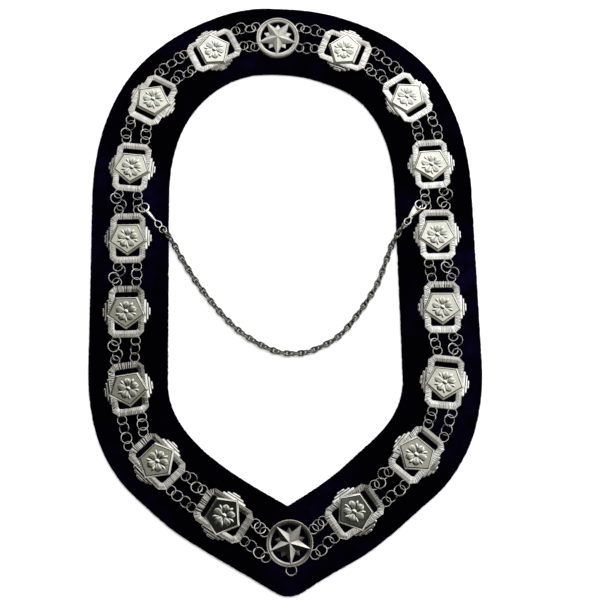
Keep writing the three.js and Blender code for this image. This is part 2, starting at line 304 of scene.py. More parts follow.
@cache
def hammer_group() -> bpy.types.NodeTree:
    """Makes the shared group of tool marks across a bar, from its grain attribute.

    Returns:
        The shader group, with a Height output.
    """
    board, given, result = new_group(
        "hammer_marks",
        "ShaderNodeTree",
        {"Grain": "NodeSocketVector", "Marks Per mm": 0.9, "Stretch": 0.35},
        {"Height": "NodeSocketFloat"},
    )
    fine_scale, fine_share = 3.0, 0.5
    parts = board.add("ShaderNodeSeparateXYZ", {"Vector": given["Grain"]}).outputs
    along = board.maths("MULTIPLY", parts["X"], given["Marks Per mm"])
    wide = board.maths("MULTIPLY", parts["Y"], given["Marks Per mm"])
    across = board.maths("MULTIPLY", wide, given["Stretch"])
    spot = board.add("ShaderNodeCombineXYZ", {"X": along, "Y": across}).outputs[0]
    cell_inputs = {"Vector": spot, "Scale": 1.0, "Randomness": 1.0}
    cells = board.add("ShaderNodeTexVoronoi", cell_inputs, voronoi_dimensions="2D", feature="F1")
    fine = board.noise(spot, fine_scale, detail=3.0, dimensions="2D")
    rough = board.maths("MULTIPLY", fine, fine_share)
    height = board.maths("ADD", cells.outputs["Distance"], rough)
    board.fill(result, {"Height": board.maths("MULTIPLY", height, parts["Z"])})
    return board.tree


def pile_and_sheen_group() -> bpy.types.NodeTree:
    """Makes the group of brushed cloth: painted sheen in nap patches and crossing brush marks,
    with fine pile.

    Returns:
        The shader group, with Color and Height outputs.
    """
    board, given, result = new_group(
        "brushed_pile",
        "ShaderNodeTree",
        {
            "Vector": "NodeSocketVector",
            "Deep": (0.0, 0.0, 0.0, 1.0),
            "Bloom": (0.02, 0.01, 0.05, 1.0),
            "Nap Scale": 9.0,
            "Pile Scale": 1600.0,
        },
        {"Color": "NodeSocketColor", "Height": "NodeSocketFloat"},
    )
    nap_range, brush_range, pile_range = (0.45, 0.72), (0.4, 0.75), (0.3, 0.7)
    brush_fineness, brush_share, faintest, shade, shine = 7.0, 0.6, 0.15, 0.5, 1.2
    nap = board.noise(given["Vector"], given["Nap Scale"], detail=4.0, distortion=0.8)
    brush_scale = board.maths("MULTIPLY", given["Nap Scale"], brush_fineness)
    brush = board.noise(given["Vector"], brush_scale, detail=3.0, distortion=0.4)
    pile = board.noise(given["Vector"], given["Pile Scale"], detail=2.0)
    stroke = board.span(brush, brush_range, faintest)
    # Painted sheen: nap patches and brush strokes blend the colour from deep black towards a
    # lighter navy, as light caught by the pile would.
    lit = board.maths("MULTIPLY", board.span(nap, nap_range), stroke)
    painted_sheen_share = board.maths("MULTIPLY", lit, board.span(pile, pile_range, shade, shine))
    height = board.maths("ADD", pile, board.maths("MULTIPLY", brush, brush_share))
    colour = board.blend(painted_sheen_share, given["Deep"], given["Bloom"])
    board.fill(result, {"Color": colour, "Height": height})
    return board.tree


# ---------------------------------------------------------------------------------------------
# Finishes


def new_material(name: str) -> tuple[Material, NodeBoard, bpy.types.Node]:
    """Starts a material that holds only its shader.

    Args:
        name: The material's name.

    Returns:
        The material, a board on its tree and its Principled BSDF.
    """
    material = bpy.data.materials.new(name)
    material.use_nodes = True
    tree = material.node_tree
    return material, NodeBoard(tree), tree.nodes["Principled BSDF"]


@dataclass(frozen=True)
class MetalFinish:
    """A silvered metal, clean on its high points and tarnished in its hollows."""

    name: str
    clean: Triple
    dark: Triple
    # Clouds of tarnish, which on the chain are painted glints.
    cloud_and_glint_scale: float
    cloud_amount: float
    hollow_amount: float
    smoothest: float
    roughest: float
    mark_depth: float
    scuff_scale: float = 900.0
    scuff_share: float = 0.12

    def material(self) -> Material:
        """Makes the metal's material.

        Returns:
            The material, which reads the polish and grain attributes of a piece; low polish
            darkens it, as oxide in real hollows and as painted shade where it is set low for
            light.
        """
        material, board, shader = new_material(self.name)
        place = board.place()
        polish = board.add("ShaderNodeAttribute", attribute_name="polish").outputs["Fac"]
        grain = board.add("ShaderNodeAttribute", attribute_name="grain").outputs["Vector"]
        tarnish_inputs = {
            "Vector": place,
            "Polish": polish,
            "Clean": opaque(self.clean),
            "Dark": opaque(self.dark),
            "Cloud And Glint Scale": self.cloud_and_glint_scale,
            "Cloud Amount": self.cloud_amount,
            "Hollow Amount": self.hollow_amount,
            "Smoothest": self.smoothest,
            "Roughest": self.roughest,
        }
        tarnish = board.add("ShaderNodeGroup", tarnish_inputs, node_tree=tarnish_group()).outputs
        marks = board.add("ShaderNodeGroup", {"Grain": grain}, node_tree=hammer_group()).outputs
        scuffs = board.noise(place, self.scuff_scale, detail=3.0)
        scuffed = board.maths("MULTIPLY", scuffs, self.scuff_share)
        height = board.maths("ADD", marks["Height"], scuffed)
        surface = {"Base Color": tarnish["Color"], "Roughness": tarnish["Roughness"]}
        board.fill(shader, surface | {"Normal": board.bump(height, 1.0, self.mark_depth)})
        board.fill(shader, {"Metallic": 1.0})
        return material


@dataclass(frozen=True)
class PileFinish:
    """Cut pile velvet: nearly black, with faint painted sheen in patches where the nap is brushed.
    """

    name: str = "black_velvet_pile"
    deep: Triple = (0.0004, 0.0003, 0.0008)
    # Lighter navy of the painted sheen on the brushed nap.
    bloom: Triple = (0.0030, 0.0014, 0.0135)
    nap_scale: float = 9.0
    pile_scale: float = 1500.0
    pile_depth: float = 0.35
    pile_strength: float = 0.8
    sheen: float = 0.018
    sheen_roughness: float = 0.45
    sheen_tint: Triple = (0.35, 0.28, 0.80)

    def material(self) -> Material:
        """Makes the velvet's material.

        Returns:
            The material.
        """
        material, board, shader = new_material(self.name)
        pile_inputs = {
            "Vector": board.place(),
            "Deep": opaque(self.deep),
            "Bloom": opaque(self.bloom),
            "Nap Scale": self.nap_scale,
            "Pile Scale": self.pile_scale,
        }
        pile = board.add("ShaderNodeGroup", pile_inputs, node_tree=pile_and_sheen_group()).outputs
        surface = {
            "Base Color": pile["Color"],
            "Normal": board.bump(pile["Height"], self.pile_strength, self.pile_depth),
            "Roughness": 1.0,
            "Specular IOR Level": 0.0,
            "Sheen Weight": self.sheen,
            "Sheen Roughness": self.sheen_roughness,
            "Sheen Tint": opaque(self.sheen_tint),
        }
        board.fill(shader, surface)
        return material


@dataclass(frozen=True)
class LiningFinish:
    """Plain black twill on the back of the band."""

    name: str = "black_twill_lining"
    thread: Triple = (0.012, 0.012, 0.014)
    gap: Triple = (0.003, 0.003, 0.004)
    threads_per_m: float = 900.0
    threads_per_rib: float = 6.0
    rib_bend: float = 0.6
    rib_depth: float = 0.2
    rib_strength: float = 0.6
    roughness: float = 0.8
    specular: float = 0.2

    def material(self) -> Material:
        """Makes the lining's material.

        Returns:
            The material.
        """
        material, board, shader = new_material(self.name)
        place = board.place()
        ribs = self.threads_per_m / self.threads_per_rib
        twill_inputs = {"Vector": place, "Scale": ribs, "Distortion": self.rib_bend}
        twill_kind = {"wave_type": "BANDS", "bands_direction": "DIAGONAL"}
        twill = board.add("ShaderNodeTexWave", twill_inputs, **twill_kind).outputs["Fac"]
        fray = board.noise(place, self.threads_per_m, detail=2.0)
        weave = board.maths("MULTIPLY", twill, fray)
        surface = {
            "Base Color": board.blend(weave, opaque(self.gap), opaque(self.thread)),
            "Normal": board.bump(weave, self.rib_strength, self.rib_depth),
            "Roughness": self.roughness,
            "Specular IOR Level": self.specular,
        }
        board.fill(shader, surface)
        return material


SHIELD_SILVER = MetalFinish(
    name="shield_silver",
    clean=(0.78, 0.785, 0.69),
    dark=(0.032, 0.033, 0.026),
    cloud_and_glint_scale=55.0,
    cloud_amount=0.22,
    hollow_amount=0.95,
    smoothest=0.11,
    roughest=0.36,
    mark_depth=0.08,
)
FRAME_SILVER = MetalFinish(
    name="frame_silver",
    clean=(0.80, 0.795, 0.755),
    dark=(0.050, 0.049, 0.038),
    cloud_and_glint_scale=90.0,
    cloud_amount=0.30,
    hollow_amount=0.90,
    smoothest=0.12,
    roughest=0.36,
    mark_depth=0.03,
)
# Painted shade: a darker, more clouded copy of the frame silver for the left-hand plaques and the
# first pair, darkened as weaker light would leave them.
SHADED_FRAME = replace(
    FRAME_SILVER, name="shaded_frame_silver", clean=(0.74, 0.73, 0.675), cloud_amount=0.36
)
STAR_SILVER = MetalFinish(
    name="star_silver",
    clean=(0.97, 0.96, 0.875),
    dark=(0.050, 0.050, 0.040),
    cloud_and_glint_scale=70.0,
    cloud_amount=0.25,
    hollow_amount=0.80,
    smoothest=0.66,
    roughest=0.78,
    mark_depth=0.06,
)
# Painted shade: a darker, rougher copy of the star silver for the front star, in place of the dark
# reflection over it.
SHADED_STAR = replace(
    STAR_SILVER,
    name="shaded_star_silver",
    clean=(0.48, 0.465, 0.42),
    cloud_amount=0.40,
    smoothest=0.16,
    roughest=0.40,
)
WIRE_SILVER = MetalFinish(
    name="wire_silver",
    clean=(0.62, 0.615, 0.565),
    dark=(0.03, 0.03, 0.025),
    cloud_and_glint_scale=160.0,
    cloud_amount=0.50,
    hollow_amount=0.0,
    smoothest=0.10,
    roughest=0.30,
    mark_depth=0.05,
)
CLASP_SILVER = replace(
    WIRE_SILVER, name="clasp_silver", clean=(0.86, 0.85, 0.80), cloud_amount=0.30
)
# Painted shade and glints: the silver chain's colour is darkened, and full clouds at the size of a
# link paint bright and black specks on it.
SHADED_CHAIN_SILVER = replace(
    WIRE_SILVER,
    name="chain_gunmetal",
    clean=(0.29, 0.29, 0.265),
    dark=(0.004, 0.004, 0.0035),
    cloud_and_glint_scale=300.0,
    cloud_amount=1.0,
    smoothest=0.08,
    roughest=0.24,
)


# ---------------------------------------------------------------------------------------------
# Meshes


@dataclass
class Knot:
    """One point of a metal surface, in millimetres, with what its material reads."""

    place: Vector
    polish: float = 1.0
    grain: Triple = (0.0, 0.0, 0.0)


class MetalPad:
    """Gathers the shells of one soldered piece and turns them into an object."""

    def __init__(self) -> None:
        """Starts with no shells."""
        self.knots: list[Knot] = []
        self.faces: list[tuple[int, ...]] = []
        self.slots: list[int] = []
        self.rounded: list[bool] = []

    def face(self, corners: tuple[int, ...], slot: int = 0, rounded: bool = True) -> None:
        """Adds one face.

        Args:
            corners: Numbers of its knots.
            slot: Number of the material.
            rounded: Whether it is shaded round, not flat.
        """
        self.faces.append(corners)
        self.slots.append(int(slot))
        self.rounded.append(rounded)

    def loft(
        self,
        sections: list[list[Knot]],
        looped: bool = False,
        slot: int = Layer.MAIN,
        rounded: bool = True,
    ) -> None:
        """Joins a row of closed sections, each with as many knots as the others.

        Args:
            sections: The sections in order.
            looped: Whether the last section joins the first; otherwise both ends are filled.
            slot: Number of the material.
            rounded: Whether the faces are shaded round, not flat.
        """
        first, width, rows = len(self.knots), len(sections[0]), len(sections)
        for section in sections:
            self.knots.extend(section)
        for row in range(rows if looped else rows - 1):
            here, there = first + row * width, first + ((row + 1) % rows) * width
            for column in range(width):
                after = (column + 1) % width
                corners = (here + column, here + after, there + after, there + column)
                self.face(corners, slot, rounded)
        if not looped:
            last = first + (rows - 1) * width
            self.face(tuple(range(first + width - 1, first - 1, -1)), slot, False)
            self.face(tuple(range(last, last + width)), slot, False)

    def tube(
        self,
        path: list[Vector],
        radii: list[float],
        sides: int = 8,
        looped: bool = False,
        slot: int = Layer.MAIN,
        flatten: float = 1.0,
    ) -> None:
        """Sweeps a round or flattened wire along a path.

        Args:
            path: Middle points of the wire.
            radii: Radius at each point.
            sides: Number of sides of the wire.
            looped: Whether the path is a ring.
            slot: Number of the material.
            flatten: Height of the wire as a share of its width.
        """
        last = len(path) - 1
        sections: list[list[Knot]] = []
        for index, (middle, radius) in enumerate(zip(path, radii)):
            before = path[index - 1] if index or looped else middle
            after = path[(index + 1) % len(path)] if index < last or looped else middle
            ahead = (after - before).normalized()
            level = up(1.0).cross(ahead).normalized()
            rise = ahead.cross(level) * flatten
            ring = []
            for angle in turns(sides, math.pi / sides):
                offset = level * math.cos(angle) + rise * math.sin(angle)
                ring.append(Knot(middle + offset * radius))
            sections.append(ring)
        self.loft(sections, looped=looped, slot=slot)

    def lathe(self, profile: tuple[Triple, ...], segments: int, marked: float) -> None:
        """Turns a closed profile round the Z axis.

        Args:
            profile: Radius, height and polish of each corner.
            segments: Number of steps round the axis.
            marked: How strongly tool marks show.
        """
        sections = []
        for angle in turns(segments):
            ring = []
            for radius, height, polish in profile:
                grain = (radius * abs(angle - math.pi), radius, marked)
                ring.append(Knot(spoke(angle, radius, height), polish, grain))
            sections.append(ring)
        self.loft(sections, looped=True)

    def dome(self, centre: Vector, rings: tuple[Triple, ...], segments: int) -> None:
        """Raises a round boss, closed at its top.

        Args:
            centre: Middle of the boss at height zero.
            rings: Radius, height and polish of each ring from the foot up; the last is the crown.
            segments: Number of steps round the boss.
        """
        sections = []
        for radius, height, polish in rings:
            spots = [centre + spoke(angle, radius, height) for angle in turns(segments)]
            sections.append([Knot(spot, polish) for spot in spots])
        self.loft(sections)

    def finish(
        self, name: str, place: Matrix, materials: list[Material], crease: float = 48.0
    ) -> bpy.types.Object:
        """Makes the object, with its place in its mesh and its faces turned outwards.

        Args:
            name: Name of the piece.
            place: Where the piece goes, in millimetres.
            materials: Materials by slot number.
            crease: Angle in degrees from which an edge stays sharp.

        Returns:
            The new object, linked to the scene.
        """
        mesh = bpy.data.meshes.new(name)
        mesh.from_pydata([place @ knot.place * MM for knot in self.knots], [], self.faces)
        mesh.polygons.foreach_set("material_index", self.slots)
        polish = mesh.attributes.new("polish", "FLOAT", "POINT")
        polish.data.foreach_set("value", [knot.polish for knot in self.knots])
        grain = mesh.attributes.new("grain", "FLOAT_VECTOR", "POINT")
        grain.data.foreach_set("vector", [value for knot in self.knots for value in knot.grain])
        shell = bmesh.new()
        shell.from_mesh(mesh)
        bmesh.ops.recalc_face_normals(shell, faces=shell.faces)
        shell.to_mesh(mesh)
        shell.free()
        mesh.set_sharp_from_angle(angle=math.radians(crease))
        for material in materials:
            mesh.materials.append(material)
        mesh.polygons.foreach_set("use_smooth", self.rounded)
        return add_object(name, mesh)


def mount(piece: bpy.types.Object, node: str) -> None:
    """Rides a piece on the collar in place of its CAD node and reports it.

    Args:
        piece: The finished piece.
        node: The CAD node that it stands for.
    """
    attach(piece, BODY)
    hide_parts(node)
    log.info("%s: %d faces for %s", piece.name, len(piece.data.polygons), node)


def settle_nodes(piece: bpy.types.Object, tree: bpy.types.NodeTree, values: dict) -> None:
    """Runs a geometry tree on an object and keeps the result as its plain mesh.

    Args:
        piece: Object whose points the tree reads.
        tree: The geometry tree.
        values: Input name to value.
    """
    modifier = piece.modifiers.new(tree.name, "NODES")
    modifier.node_group = tree
    for item in tree.interface.items_tree:
        if item.item_type == "SOCKET" and item.in_out == "INPUT" and item.name in values:
            modifier[item.identifier] = values[item.name]
    piece.update_tag()
    depsgraph = bpy.context.evaluated_depsgraph_get()
    made = bpy.data.meshes.new_from_object(
        piece.evaluated_get(depsgraph), preserve_all_data_layers=True, depsgraph=depsgraph
    )
    made.name = piece.name
    piece.modifiers.clear()
    piece.data = made


# ---------------------------------------------------------------------------------------------
# Velvet band


@dataclass(frozen=True)
class BandEdge:
    """Half of one edge of the band: a rounded arch, a straight side and a fall to the front.

    Each uneven place is a row of the end of the band (1 back, -1 front), middle, reach and rise.
    """

    half: float
    rise: float
    power: float
    side_end: float
    fall: float
    run: float
    slope: float
    end: Pair
    uneven: tuple[tuple[int, float, float, float], ...]
    fade: float = 120.0

    def settle(self, points: list[Vector]) -> list[Vector]:
        """Raises the whole edge at its uneven places.

        Args:
            points: The edge once round, which is changed in place.

        Returns:
            The same points.
        """
        for point in points:
            weight = min(abs(point.y) / self.fade, 1.0)
            lift = 0.0
            for end, middle, reach, rise in self.uneven:
                if end * point.y > 0.0:
                    lift += weight * rise * math.exp(-(((point.x - middle) / reach) ** 2))
            point.y += lift
        return points

    def points(self, arch_y: float, steps: tuple[int, int, int]) -> list[Vector]:
        """Walks the right-hand half of the edge.

        Args:
            arch_y: Height of the arch's springing.
            steps: Steps round the arch, down the straight side and down the fall to the front.

        Returns:
            Points from the back of the neck to the end.
        """
        arch_steps, side_steps, fall_steps = steps
        bend = 2.0 / self.power
        walked = []
        for step in range(arch_steps):
            angle = step / arch_steps * math.pi / 2.0
            y = arch_y + self.rise * math.cos(angle) ** bend
            walked.append(Vector((self.half * math.sin(angle) ** bend, y, 0.0)))
        for step in range(side_steps):
            y = arch_y + (self.side_end - arch_y) * step / side_steps
            walked.append(Vector((self.half, y, 0.0)))
        start, end = Vector((self.half, self.side_end, 0.0)), Vector((*self.end, 0.0))
        drop = Vector((0.0, self.fall, 0.0))
        pull = (start, start - drop, end + spoke(math.radians(self.slope), self.run), end)
        for step in range(fall_steps + 1):
            t = step / fall_steps
            weights = ((1 - t) ** 3, 3 * t * (1 - t) ** 2, 3 * t * t * (1 - t), t**3)
            walked.append(sum((point * part for point, part in zip(pull, weights)), Vector()))
        return walked


@dataclass
class VelvetBand:
    """The flat band of lined velvet that carries everything.

    The roll and the foot are rows of inset and height, as a share of the thickness, of a turned
    edge. The wave and the ripple of the pile are a layer, a frequency and a strength.
    """

    thick: float = 3.0
    arch_y: float = 90.5
    tip_apex: float = -309.15
    outer: BandEdge = BandEdge(
        half=194.4,
        rise=214.4,
        power=2.25,
        side_end=-80.0,
        fall=127.0,
        run=120.0,
        slope=31.6,
        end=(13.9, -300.6),
        uneven=(
            (1, -32.0, 42.0, 3.2),
            (1, 88.0, 42.0, -2.4),
            (1, 162.0, 20.0, 2.8),
            (1, -165.0, 28.0, 2.3),
            (-1, 72.0, 25.0, -2.5),
            (-1, 127.0, 18.0, 2.2),
            (-1, -138.0, 18.0, 2.2),
        ),
    )
    inner: BandEdge = BandEdge(
        half=115.3,
        rise=138.4,
        power=2.4,
        side_end=-97.4,
        fall=55.0,
        run=58.6,
        slope=30.2,
        end=(0.0, -219.8),
        uneven=((1, -35.0, 40.0, 2.8), (1, 50.0, 28.0, -2.8), (-1, 74.0, 26.0, 4.0)),
    )
    arch_steps: int = 150
    side_steps: int = 84
    fall_steps: int = 130
    tip_steps: int = 16
    across_steps: int = 20
    roll: tuple[Pair, ...] = ((0.0, 0.45), (0.0, 0.78), (0.35, 0.92), (1.2, 0.995), (2.6, 1.0))
    foot: tuple[Pair, ...] = ((0.15, 0.16), (0.7, 0.0))
    frayed: float = 0.8
    fray_frequency: float = 0.42
    sag: float = 0.22
    sag_above: float = 0.85
    wave: Triple = (3.0, 0.021, 0.7)
    ripple: Triple = (40.0, 0.075, 0.6)
    crease: float = 70.0
    node: str = "velvet_band"

    def edges(self) -> tuple[list[Vector], list[Vector]]:
        """Walks both edges once round, point for point beside each other.

        Returns:
            The points of the outer edge and of the inner edge.
        """
        steps = (self.arch_steps, self.side_steps, self.fall_steps)
        outer = self.outer.points(self.arch_y, steps)
        corner_x, corner_y = self.outer.end
        for step in range(1, self.tip_steps + 1):
            t = 0.5 * step / self.tip_steps
            x = (1 - t) ** 2 * corner_x - t * t * corner_x
            y = ((1 - t) ** 2 + t * t) * corner_y + 2 * t * (1 - t) * self.tip_apex
            outer.append(Vector((max(x, 0.0), y, 0.0)))
        inner = self.inner.points(self.arch_y, (*steps[:2], self.fall_steps + self.tip_steps))
        return self.outer.settle(self.round_trip(outer)), self.inner.settle(self.round_trip(inner))

    def round_trip(self, half: list[Vector]) -> list[Vector]:
        """Adds the mirrored left half to a right half."""
        return half + [Vector((-point.x, point.y, 0.0)) for point in reversed(half[1:-1])]

    def section(self, outside: Vector, inside: Vector) -> list[Vector]:
        """Lays one cross-section of the band, rounded at its turned edges.

        Args:
            outside: Point on the outer edge.
            inside: Point on the inner edge.

        Returns:
            A ring of points from the outer edge over the pile and back under the lining.
        """
        width = (inside - outside).length
        way = (inside - outside) / width
        turned = self.roll[-1][0]
        level = []
        for step in range(1, self.across_steps):
            level.append((turned + (width - 2.0 * turned) * step / self.across_steps, 1.0))
        near, far = self.roll + tuple(level), tuple(reversed(self.roll)) + self.foot
        ring = [outside + way * inset + up(self.thick * share) for inset, share in near]
        ring += [inside - way * inset + up(self.thick * share) for inset, share in far]
        back = reversed(self.foot)
        return ring + [outside + way * inset + up(self.thick * share) for inset, share in back]

    def sunk(self, point: Vector) -> float:
        """Gives how far the pile sinks at a point, in slow waves with a finer ripple.

        Args:
            point: Point on the pile.

        Returns:
            The depth in millimetres.
        """
        swell = 0.0
        for layer, frequency, strength in (self.wave, self.ripple):
            swell += strength * noise.noise(Vector((point.x, point.y, layer)) * frequency)
        return self.sag * (0.5 + 0.5 * swell)

    def build(self, pile: Material, lining: Material) -> None:
        """Args:
            pile: Material of the front and the turned edges.
            lining: Material of the back.
        """
        outer, inner = self.edges()
        pad = MetalPad()
        sections = []
        for outside, inside in zip(outer, inner):
            way = (inside - outside).normalized()
            worn_and_shaded = [noise.noise(edge * self.fray_frequency) for edge in (outside, inside)]
            drawn_in = [way * (self.frayed * abs(depth)) for depth in worn_and_shaded]
            ring = self.section(outside + drawn_in[0], inside - drawn_in[1])
            for point in ring:
                if point.z > self.sag_above * self.thick:
                    point.z -= self.sunk(point)
            sections.append([Knot(point) for point in ring])
        pad.loft(sections, looped=True)
        width, feet = len(sections[0]), 2 * len(self.foot)
        backs = range(width - feet, width - 1)
        pad.slots = [int(index % width in backs) for index in range(len(pad.faces))]
        band = pad.finish("velvet", Matrix.Identity(4), [pile, lining], self.crease)
        mount(band, self.node)


# ---------------------------------------------------------------------------------------------
# Medallions


@dataclass(frozen=True)
class SolderedLoop:
    """A wire ring soldered by its open side to an edge."""

    radius: float = 4.5
    wire: float = 0.52
    gap: float = 24.0
    height: float = LOOP_HEIGHT
    steps: int = 22

    def add_to(self, pad: MetalPad, x: float, y: float, turn: float) -> None:
        """Adds the loop to a medallion.

        Args:
            pad: Where the loop goes.
            x: Middle of the loop.
            y: Middle of the loop.
            turn: Angle in radians that its open side is turned from -Y.
        """
        gap = math.radians(self.gap)
        path = []
        for step in range(self.steps + 1):
            angle = gap + step / self.steps * 2.0 * (math.pi - gap) + turn
            rim = spoke(angle - math.pi / 2.0, self.radius, self.height)
            path.append(Vector((x, y, 0.0)) + rim)
        pad.tube(path, [self.wire] * len(path), slot=Layer.WIRE)


@dataclass(frozen=True)
class Leaf:
    """A petal or sepal of the rosette, which swells from its ends and has a vein.

    The flank is rows of the place across, as a share of the half width, and the height.
    """

    near: float
    far: float
    half: float
    height: float
    vein: float
    turn: float
    steps: int = 10
    margin: float = 0.02
    skew: float = 1.35
    fullness: float = 0.75
    end_height: float = 0.35
    dullest: float = 0.05
    flank: tuple[Pair, ...] = ((1.0, -0.3), (0.92, 0.5), (0.5, 0.95))

    def add_to(self, pad: MetalPad, centre: Vector, angle: float) -> None:
        """Adds the leaf to a plaque.

        Args:
            pad: Where the leaf goes.
            centre: Middle of the rosette, at the height of the field.
            angle: Way that the leaf points, in radians.
        """
        ahead = spoke(angle)
        left = [(-across, lift) for across, lift in self.flank]
        shape = (*left, (0.0, 1.0 - self.vein), *reversed(self.flank))
        sections = []
        for step in range(self.steps + 1):
            t = self.margin + (1.0 - 2.0 * self.margin) * step / self.steps
            swell = math.sin(math.pi * t**self.skew) ** self.fullness
            middle = centre + ahead * (self.near + (self.far - self.near) * t)
            tall = self.height * (self.end_height + (1.0 - self.end_height) * swell)
            row = []
            for across, lift in shape:
                spot = middle + beside(ahead) * (self.half * swell * across) + up(tall * lift)
                row.append(Knot(spot, self.dullest + (1.0 - self.dullest) * max(0.0, lift)))
            sections.append(row)
        pad.loft(sections)


@dataclass
class PlaqueMedallion:
    """A pierced octagon frame crossed by a five-sided shield, with stepped wings and four loops.

    The rows of the bar are place across, height and polish. Those of the shield's steps are inset,
    height and polish. A wing's tiers are near and far edge, half length and top, and its two edges
    are rows of the place from the edge, drop and polish.
    """

    # Polish of the shield's field, set low as painted shade on the plaques nearest the front.
    field_polish: float = 1.0
    width: float = 35.5
    length: float = 53.3
    corner: float = 5.8
    window: float = 23.5
    window_end: float = 19.5
    window_corner: float = 1.6
    bar_shoulder: float = 6.85
    bar: tuple[Triple, ...] = (
        (0.0, 5.7, 0.3),
        (0.0, 6.85, 0.8),
        (0.08, 7.35, 1.0),
        (0.5, 7.45, 1.0),
        (0.92, 7.35, 1.0),
        (1.0, 6.85, 0.5),
        (1.0, 5.7, 0.1),
    )
    bar_slope: Pair = (0.12, 0.48)
    bar_force: Pair = (0.2, 0.75)
    mark_cut: Pair = (0.08, 0.26)
    mark_skew: float = 0.05
    mark_width: Pair = (0.45, 0.8)
    mark_space: Pair = (1.0, 2.4)
    mark_crowding: float = 0.55
    mark_margin: float = 0.4
    mark_dulling: float = 2.0
    shield: tuple[Pair, ...] = (
        (11.0, 14.9),
        (-11.0, 14.9),
        (-19.6, -4.2),
        (0.0, -18.5),
        (19.6, -4.2),
    )
    shield_steps: tuple[Triple, ...] = (
        (0.0, 6.5, 0.2),
        (0.0, 7.4, 0.6),
        (1.2, 8.85, 1.0),
        (1.7, 8.95, 1.0),
        (1.85, 8.5, 0.0),
        (2.3, 8.5, 0.0),
    )
    field: float = 8.7
    field_inset: float = 2.5
    petals: int = 5
    rosette_y: float = -0.6
    leaves: tuple[Leaf, ...] = (
        Leaf(near=1.2, far=11.0, half=4.0, height=0.85, vein=0.5, turn=0.0),
        Leaf(near=4.2, far=11.4, half=1.5, height=0.65, vein=0.0, turn=36.0),
    )
    boss: tuple[Triple, ...] = (
        (2.4, 8.5, 0.0),
        (2.35, 9.2, 0.5),
        (2.0, 9.6, 1.0),
        (1.2, 9.85, 1.0),
        (0.4, 9.9, 1.0),
    )
    boss_steps: int = 20
    wing_base: float = 3.3
    wing_base_polish: float = 0.1
    wing_slope: float = 0.2
    wing_bevel: float = 0.9
    wing_end: Pair = (0.8, 0.5)
    wing_dip: float = 0.1
    wing_marks: float = 0.5
    wing_tiers: tuple[Quad, ...] = (
        (17.3, 20.0, 12.5, 7.0),
        (20.0, 22.1, 9.0, 6.6),
        (22.1, 24.1, 4.2, 6.2),
    )
    wing_near: tuple[Triple, ...] = ((0.0, 0.9, 0.0), (0.35, 0.05, 0.8), (0.6, 0.0, 1.0))
    wing_far: tuple[Triple, ...] = ((-0.3, 0.0, 1.0), (0.0, 0.4, 0.7))
    loop: SolderedLoop = SolderedLoop()
    loop_spread: float = 9.7
    loop_reach: float = 3.5

    @property
    def loop_end(self) -> float:
        """Distance of the loops' middles from the plaque's middle, along its length."""
        return self.length / 2.0 + self.loop_reach

    def build(self, where: str, place: Matrix, seed: int, materials: list[Material]) -> None:
        """Makes one plaque.

        Args:
            where: Side and number of the plaque, as in the names of its node and piece.
            place: Where the plaque goes, in millimetres.
            seed: Seed of its hammer marks.
            materials: The shield's metal, the loops' wire and the frame's metal.
        """
        pad = MetalPad()
        self.add_frame(pad, random.Random(seed))
        self.add_shield(pad)
        self.add_rosette(pad)
        for side in Side:
            self.add_wing(pad, side)
        for across in (-self.loop_spread, self.loop_spread):
            self.loop.add_to(pad, across, self.loop_end, 0.0)
            self.loop.add_to(pad, across, -self.loop_end, math.pi)
        mount(pad.finish(f"medallion_{where}", place, materials), f"plaque_{where}")

    def octagon(self, half: float, end: float, cut: float) -> list[Vector]:
        """Gives the corners of a rectangle with its corners cut off.

        Args:
            half: Half of its width.
            end: Half of its length.
            cut: How much is cut off along each side.

        Returns:
            The eight corners in order.
        """
        side, top = (half, end - cut), (half - cut, end)
        corners = [side, top, (-top[0], top[1]), (-side[0], side[1])]
        corners += [(-x, -y) for x, y in corners]
        return [Vector((x, y, 0.0)) for x, y in corners]

    def add_frame(self, pad: MetalPad, chance: random.Random) -> None:
        """Adds the octagon frame with tool marks across its bars.

        Args:
            pad: Where the frame goes.
            chance: Source of its uneven marks.
        """
        outer = self.octagon(self.width / 2.0, self.length / 2.0, self.corner)
        inner = self.octagon(self.window / 2.0, self.window_end, self.window_corner)
        sections = []
        for index, (start, inside) in enumerate(zip(outer, inner)):
            after = (index + 1) % len(outer)
            length = (outer[after] - start).length
            slope, force = chance.uniform(*self.bar_slope), chance.uniform(*self.bar_force)
            walked, struck = 0.0, False
            while walked < length - self.mark_margin:
                edge = start.lerp(outer[after], walked / length)
                hole = inside.lerp(inner[after], walked / length)
                cut = force * chance.uniform(*self.mark_cut) if struck else 0.0
                skew = chance.uniform(-self.mark_skew, self.mark_skew) if struck else 0.0
                sections.append(self.bar_section(edge, hole, cut, skew + slope))
                close = struck or chance.random() < self.mark_crowding
                walked += chance.uniform(*(self.mark_width if close else self.mark_space))
                struck = not struck
        pad.loft(sections, looped=True, rounded=False, slot=Layer.FRAME)

    def bar_section(self, edge: Vector, hole: Vector, cut: float, slope: float) -> list[Knot]:
        """Lays one section of a bar, cut down and sloped at its top.

        Args:
            edge: Point on the frame's outline.
            hole: Point on the edge of its window.
            cut: Depth of a tool mark.
            slope: How far the top falls from the outline to the window.

        Returns:
            The section.
        """
        ring = []
        for share, height, polish in self.bar:
            spot = edge.lerp(hole, share) + up(height)
            if height > self.bar_shoulder:
                spot -= up(cut + slope * (share - 0.5))
                polish = max(polish - self.mark_dulling * cut, 0.0)
            ring.append(Knot(spot, polish))
        return ring

